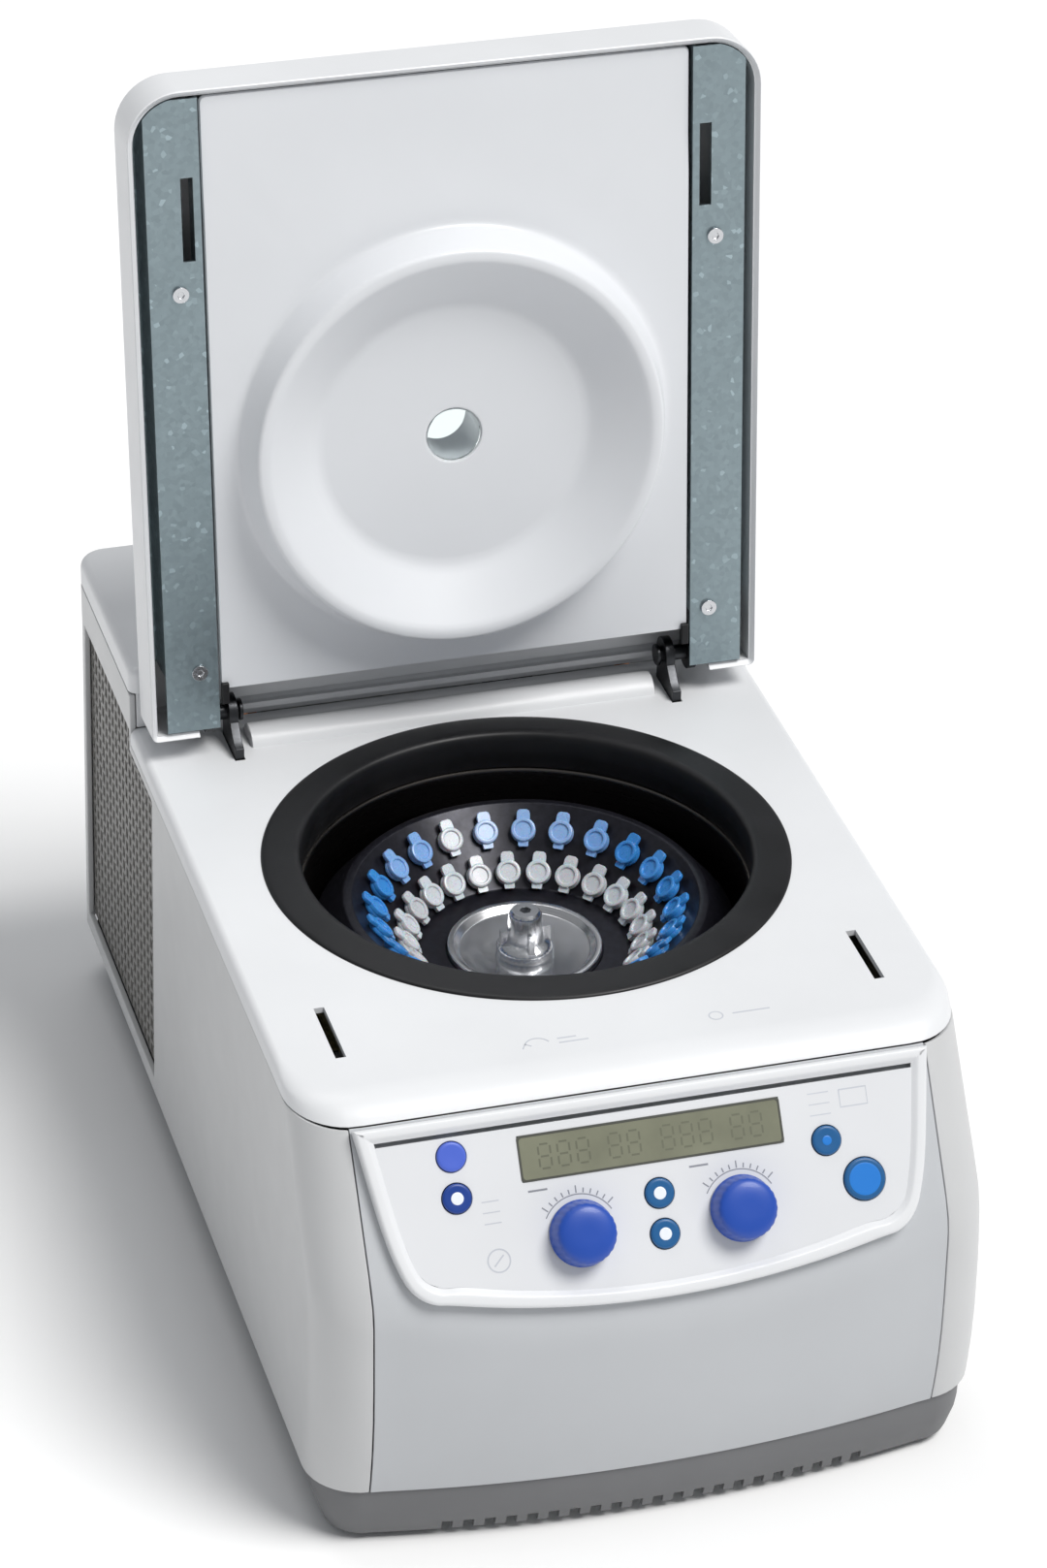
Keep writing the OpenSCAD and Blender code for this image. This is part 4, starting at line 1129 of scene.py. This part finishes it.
def tubes():
    def blue_tone_and_painted_light(k):
        """Painted light and shade: palest at the far side of the rotor, deepest at its left and right; the
        small wobble on top is each tube's own tone.
        """
        far = sin(2 * pi * k / TUBES)
        return min(max(0.42 + 0.55 * max(far, 0) ** 3 + 0.12 * sin(k * 2.3), 0), 1)

    def white_shade(k):
        return 0.55 + 0.2 * sin(k * 1.9)

    blue = [k for k in range(TUBES) if k != SAMPLE_PLACE]
    rack_of_tubes("blue_tubes", "outer", blue, "rotor", "tube_blue", TUBE_BLUE, "outer_tubes", blue_tone_and_painted_light)
    rack_of_tubes("white_tubes", "inner", range(TUBES), "rotor", "tube_clear", TUBE_CLEAR,
                  "inner_tubes", white_shade)
    rack_of_tubes("pull_out_tube", "outer", [SAMPLE_PLACE], "tube", "tube_clear", TUBE_CLEAR,
                  "sample_tube", lambda k: 0.7)


def rotor():
    body = Maker()
    body.turn([(8.05, 112), (19.4, 112), (20.6, 112.6), (33, 123.4), (35, 124.6), (54, 126.9), (79.4, 130.9),
               (81.2, 131.6), (97.2, 143.4), (98.6, 144.4), (102, 150), (102.5, 151.4), (102.5, 180.2),
               (102, 181.6), (89.2, 196.4), (88.2, 197.1), (85, 197.5), (84, 197), (54, 167),
               (52.5, 166), (38.6, 166), (38.1, 165.6), (38, 165), (38, 160), (8.05, 160), (8.05, 112)],
              144, (0, BOWL_Y))
    obj = body.build("rotor_cone")
    well = Maker()
    well.turn([(0, -36.5), (5.9, -36.5), (5.9, 12), (0, 12)], 48)
    cut(obj, well, tube_place("outer", SAMPLE_PLACE))
    round_edges(obj, 0.3, 2, 60)
    fit(obj, "rotor", "rotor_anodised", ANODISED, "rotor_body")
    hub = Maker()
    hub.turn([(8.05, 164.5), (9, 164.6), (14.6, 164.6), (15.2, 164.8), (31.6, 166), (32.4, 166.4),
              (34.6, 169.0), (35.2, 169.3), (36.9, 169.4), (37.5, 169.2), (37.9, 168.7), (38, 168),
              (38, 160), (8.05, 160), (8.05, 164.5)], 128, (0, BOWL_Y))
    fit(hub.build("hub"), "rotor", "hub_aluminium", HUB, "rotor_hub")
    swap("rotor_nut", "nut", "plated_steel", PLATED, 0.45, 3)
    swap("drive_shaft", "drive", "plated_steel", PLATED, 0.3)


# ---- lid


def lid_shell():
    """The lid's outer shell, open below, with the sight hole and the hinge gap."""
    skin = Maker()
    rows = []
    for z, inset in cap_levels(RIM_Z, 6):
        loop = rounded_rect(-LID_HALF + inset, LID_HALF - inset, LID_FRONT + inset,
                            LID_BACK - min(inset, 2.4), LID_CORNER_R - inset, 3.2 - min(inset, 2.6), 12)
        rows.append(at_height(with_sides(loop, 12), z))
    rows.append(circle_facing(rows[-1], (0, BOWL_Y), SIGHT_R, REAR_TOP))
    skin.stack(rows)
    obj = skin.build("lid_outer_shell", LID_PLACE)
    face_out(obj, LID_PLACE.to_3x3() @ Vector((obj.data.polygons[0].center.x, 0, 0)))
    thicken(obj, WALL)
    gap = Maker()
    gap.box((-132, LID_BACK - 6, RIM_Z - 1), (132, LID_BACK + 1, 247))
    cut(obj, gap, LID_PLACE)
    round_edges(obj, 0.5, 2, 50)
    fit(obj, "lid", "cover_plastic", COVER, "lid_shell")


def with_sides(loop, count):
    """Splits the four straight stretches of a rounded rectangle's loop into count pieces each."""
    corner = len(loop) // 4
    out = []
    for k, p in enumerate(loop):
        out.append(p)
        if k % corner == corner - 1:
            q = loop[(k + 1) % len(loop)]
            out += [tuple(mix(a, b, m / count) for a, b in zip(p, q)) for m in range(1, count)]
    return out


def lid_liner():
    """The lid's inner tray with its dish, in one moulded sheet."""
    z = LINER_Z
    skin = Maker()
    x, y0, y1 = 120.3, LID_FRONT + 4.2, 100.0
    band, step_width, step_height = 62.0, 16, 1.1

    def lift(y):
        """The sheet stands a little deeper near its front edge."""
        t = min(max((y0 + band - y) / step_width, 0), 1)
        return step_height * t * t * (3 - 2 * t)

    plate = []
    for inset in (0.0, 0.6, 4.0):
        loop = with_sides(rounded_rect(-x + inset, x - inset, y0 + inset, y1 - inset, 3, 3, 4), 30)
        edge = 1.4 if inset == 0 else 0.0
        plate.append([(px, py, z + lift(py) + edge) for px, py in loop])
    outer = plate[-1]
    for share in (0.3, 0.6, 0.85):
        ring = circle_facing(outer, (0, BOWL_Y), 112, z)
        plate.append([tuple(mix(a, b, share) for a, b in zip(p[:2], q[:2])) for p, q in zip(outer, ring)])
        plate[-1] = [(px, py, z + lift(py)) for px, py in plate[-1]]
    profile = [(112, z), (110, z - 0.15), (108.4, z - 0.8), (107.3, z - 2.0), (106.6, z - 4), (104, 212),
               (102.9, 207.2), (102.4, 205.2), (101.6, 204.0), (100.4, 203.55), (98.6, 203.5),
               (97, 203.6), (95.4, 204.1), (93.5, 205.3), (84, 211.4), (73, 218.5), (70, 220.3),
               (67.5, 221.2), (64.5, 221.5), (40, 221.5), (15.6, 221.5), (14.4, 221.7), (13.7, 222.6),
               (13.5, 224), (13.5, 250.6)]
    dish = [circle_facing(outer, (0, BOWL_Y), r, height) for r, height in profile]
    skin.stack(plate + dish)
    obj = skin.build("lid_inner_liner", LID_PLACE)
    face_out(obj, LID_PLACE.to_3x3() @ Vector((0, 0, -1)))
    flat = obj.data.polygons[len(obj.data.polygons) // 6].normal
    if flat.dot(LID_PLACE.to_3x3() @ Vector((0, 0, -1))) < 0:
        flip(obj)
    thicken(obj, 2.0)
    fit(obj, "lid", "liner_plastic", LINER, "lid_liner")


def lid_fittings():
    """Rails, screws, bumpers, hinges, latch hooks and the sight glass."""
    for node, body, slot, finish, width, segments in (
            ("left_rail", "lid", "galvanised", ZINC, 0.35, 2),
            ("right_rail", "lid", "galvanised", ZINC, 0.35, 2),
            ("lid_screws", "lid", "plated_steel", PLATED, 0.35, 3),
            ("lid_bumpers", "lid", "black_rubber", RUBBER, 0.5, 3),
            ("hinge_arms", "lid", "plated_steel", DARK_ZINC, 0.4, 2),
            ("hinge_brackets", "casing", "plated_steel", DARK_ZINC, 0.4, 2),
            ("hinge_pins", "casing", "plated_steel", DARK_ZINC, 0.5, 3),
            ("left_latch_hook", "left_hook", "plated_steel", PLATED, 0.3, 2),
            ("right_latch_hook", "right_hook", "plated_steel", PLATED, 0.3, 2),
            ("window_glass", "lid", "window", WINDOW, 0.3, 2)):
        swap(node, body, slot, finish, width, segments)


def hinge_strip():
    """The round-backed strip along the deck's rear edge."""
    bar = Maker()
    section = [(106.2, DECK)] + [(y, z) for y, z in arc(117, 216.5, 11.1, 158, 22, 14)] + [(126.9, DECK)]
    rows = []
    for x, scale in ((-105, 0.9), (-104.4, 1.0), (104.4, 1.0), (105, 0.9)):
        rows.append([(x, 117 + (y - 117) * scale, DECK + (z - DECK) * scale) for y, z in section])
    bar.stack(rows, cap_first=True, cap_last=True)
    cover_piece(bar.build("hinge_strip_bar"), "hinge_strip")


# ---- what shows through the openings


INSIDE = {
    BOARD: ("control_board", "power_board"),
    FOAM: ("chamber_insulation",),
    COPPER: ("cooling_coil", "motor_stator", "refrigerant_pipes"),
    CAST: ("motor_housing", "motor_core"),
    PLATED: ("motor_bearings",),
    RUBBER: ("motor_dampers",),
    BLACK_PAINT: ("compressor",),
    SHEET: ("condenser", "latch_brackets"),
    BLACK_PLASTIC: ("fan_frame", "fan_blades", "latch_motors"),
}


def inside():
    """CAD nodes whose shape is right get their finish in place."""
    for finish, nodes in INSIDE.items():
        for node in nodes:
            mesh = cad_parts[node].data
            mesh.materials.clear()
            mesh.materials.append(finish)


# ---- floor, light and camera


def stage():
    size = 30
    corners = [(-size, -size, 0), (size, -size, 0), (size, size, 0), (-size, size, 0)]
    floor = mesh_object("floor", corners, [(0, 1, 2, 3)])
    floor.data.materials.append(material("floor", (0.95, 0.95, 0.95), 0.9))


def area_light(name, place, target, size, power, color=(1, 1, 1)):
    data = bpy.data.lights.new(name, "AREA")
    data.shape = "RECTANGLE"
    data.size, data.size_y = size
    data.energy = power
    data.color = color
    lamp = link(bpy.data.objects.new(name, data))
    lamp.location = place
    lamp.rotation_euler = (Vector(target) - Vector(place)).to_track_quat("-Z", "Y").to_euler()


def lights():
    world = bpy.data.worlds.new("studio")
    world.use_nodes = True
    sky = world.node_tree.nodes["Background"]
    sky.inputs["Color"].default_value = (0.93, 0.96, 1.0, 1)
    sky.inputs["Strength"].default_value = 0.32
    bpy.context.scene.world = world
    bpy.context.scene.view_settings.view_transform = "Standard"
    data = bpy.data.lights.new("key", "SUN")
    data.energy = KEY_STRENGTH
    data.angle = radians(KEY_SOFTNESS)
    data.color = (1.0, 0.99, 0.975)
    key = link(bpy.data.objects.new("key", data))
    key.rotation_euler = Vector(KEY_FROM).to_track_quat("Z", "Y").to_euler()
    area_light("top", (-0.3, 0.7, 2.6), (0, 0, 0.2), (1.2, 0.8), 10)


def camera():
    """The camera stands in front, to the left and above, and looks down at the panel."""
    azimuth, pitch, roll = (radians(a) for a in CAMERA_TURN)
    forward = Vector((sin(azimuth) * cos(pitch), cos(azimuth) * cos(pitch),
                      -sin(pitch)))
    right = forward.cross(Vector((0, 0, 1))).normalized()
    up = right.cross(forward)
    turned_right = right * cos(roll) + up * sin(roll)
    turned_up = up * cos(roll) - right * sin(roll)
    data = bpy.data.cameras.new("camera")
    data.sensor_width = 36
    data.lens = CAMERA_LENS
    data.clip_end = 100
    cam = link(bpy.data.objects.new("camera", data))
    cam.matrix_world = Matrix((
        (turned_right.x, turned_up.x, -forward.x, CAMERA_AT[0]),
        (turned_right.y, turned_up.y, -forward.y, CAMERA_AT[1]),
        (turned_right.z, turned_up.z, -forward.z, CAMERA_AT[2]),
        (0, 0, 0, 1)))
    bpy.context.scene.camera = cam


camera()
lights()
stage()

front_panel()
housing_shell()
top_cover()
rear_cover()
skirt()
feet()
grilles()
back()
control_tray()
display()
knob("time_dial_knob", -KNOB_X, "time_dial", "time_knob")
knob("speed_dial_knob", KNOB_X, "speed_dial", "speed_knob")
keys()
panel_prints()
deck_prints()
chamber()
tubes()
rotor()
lid_shell()
lid_liner()
lid_fittings()
hinge_strip()
inside()
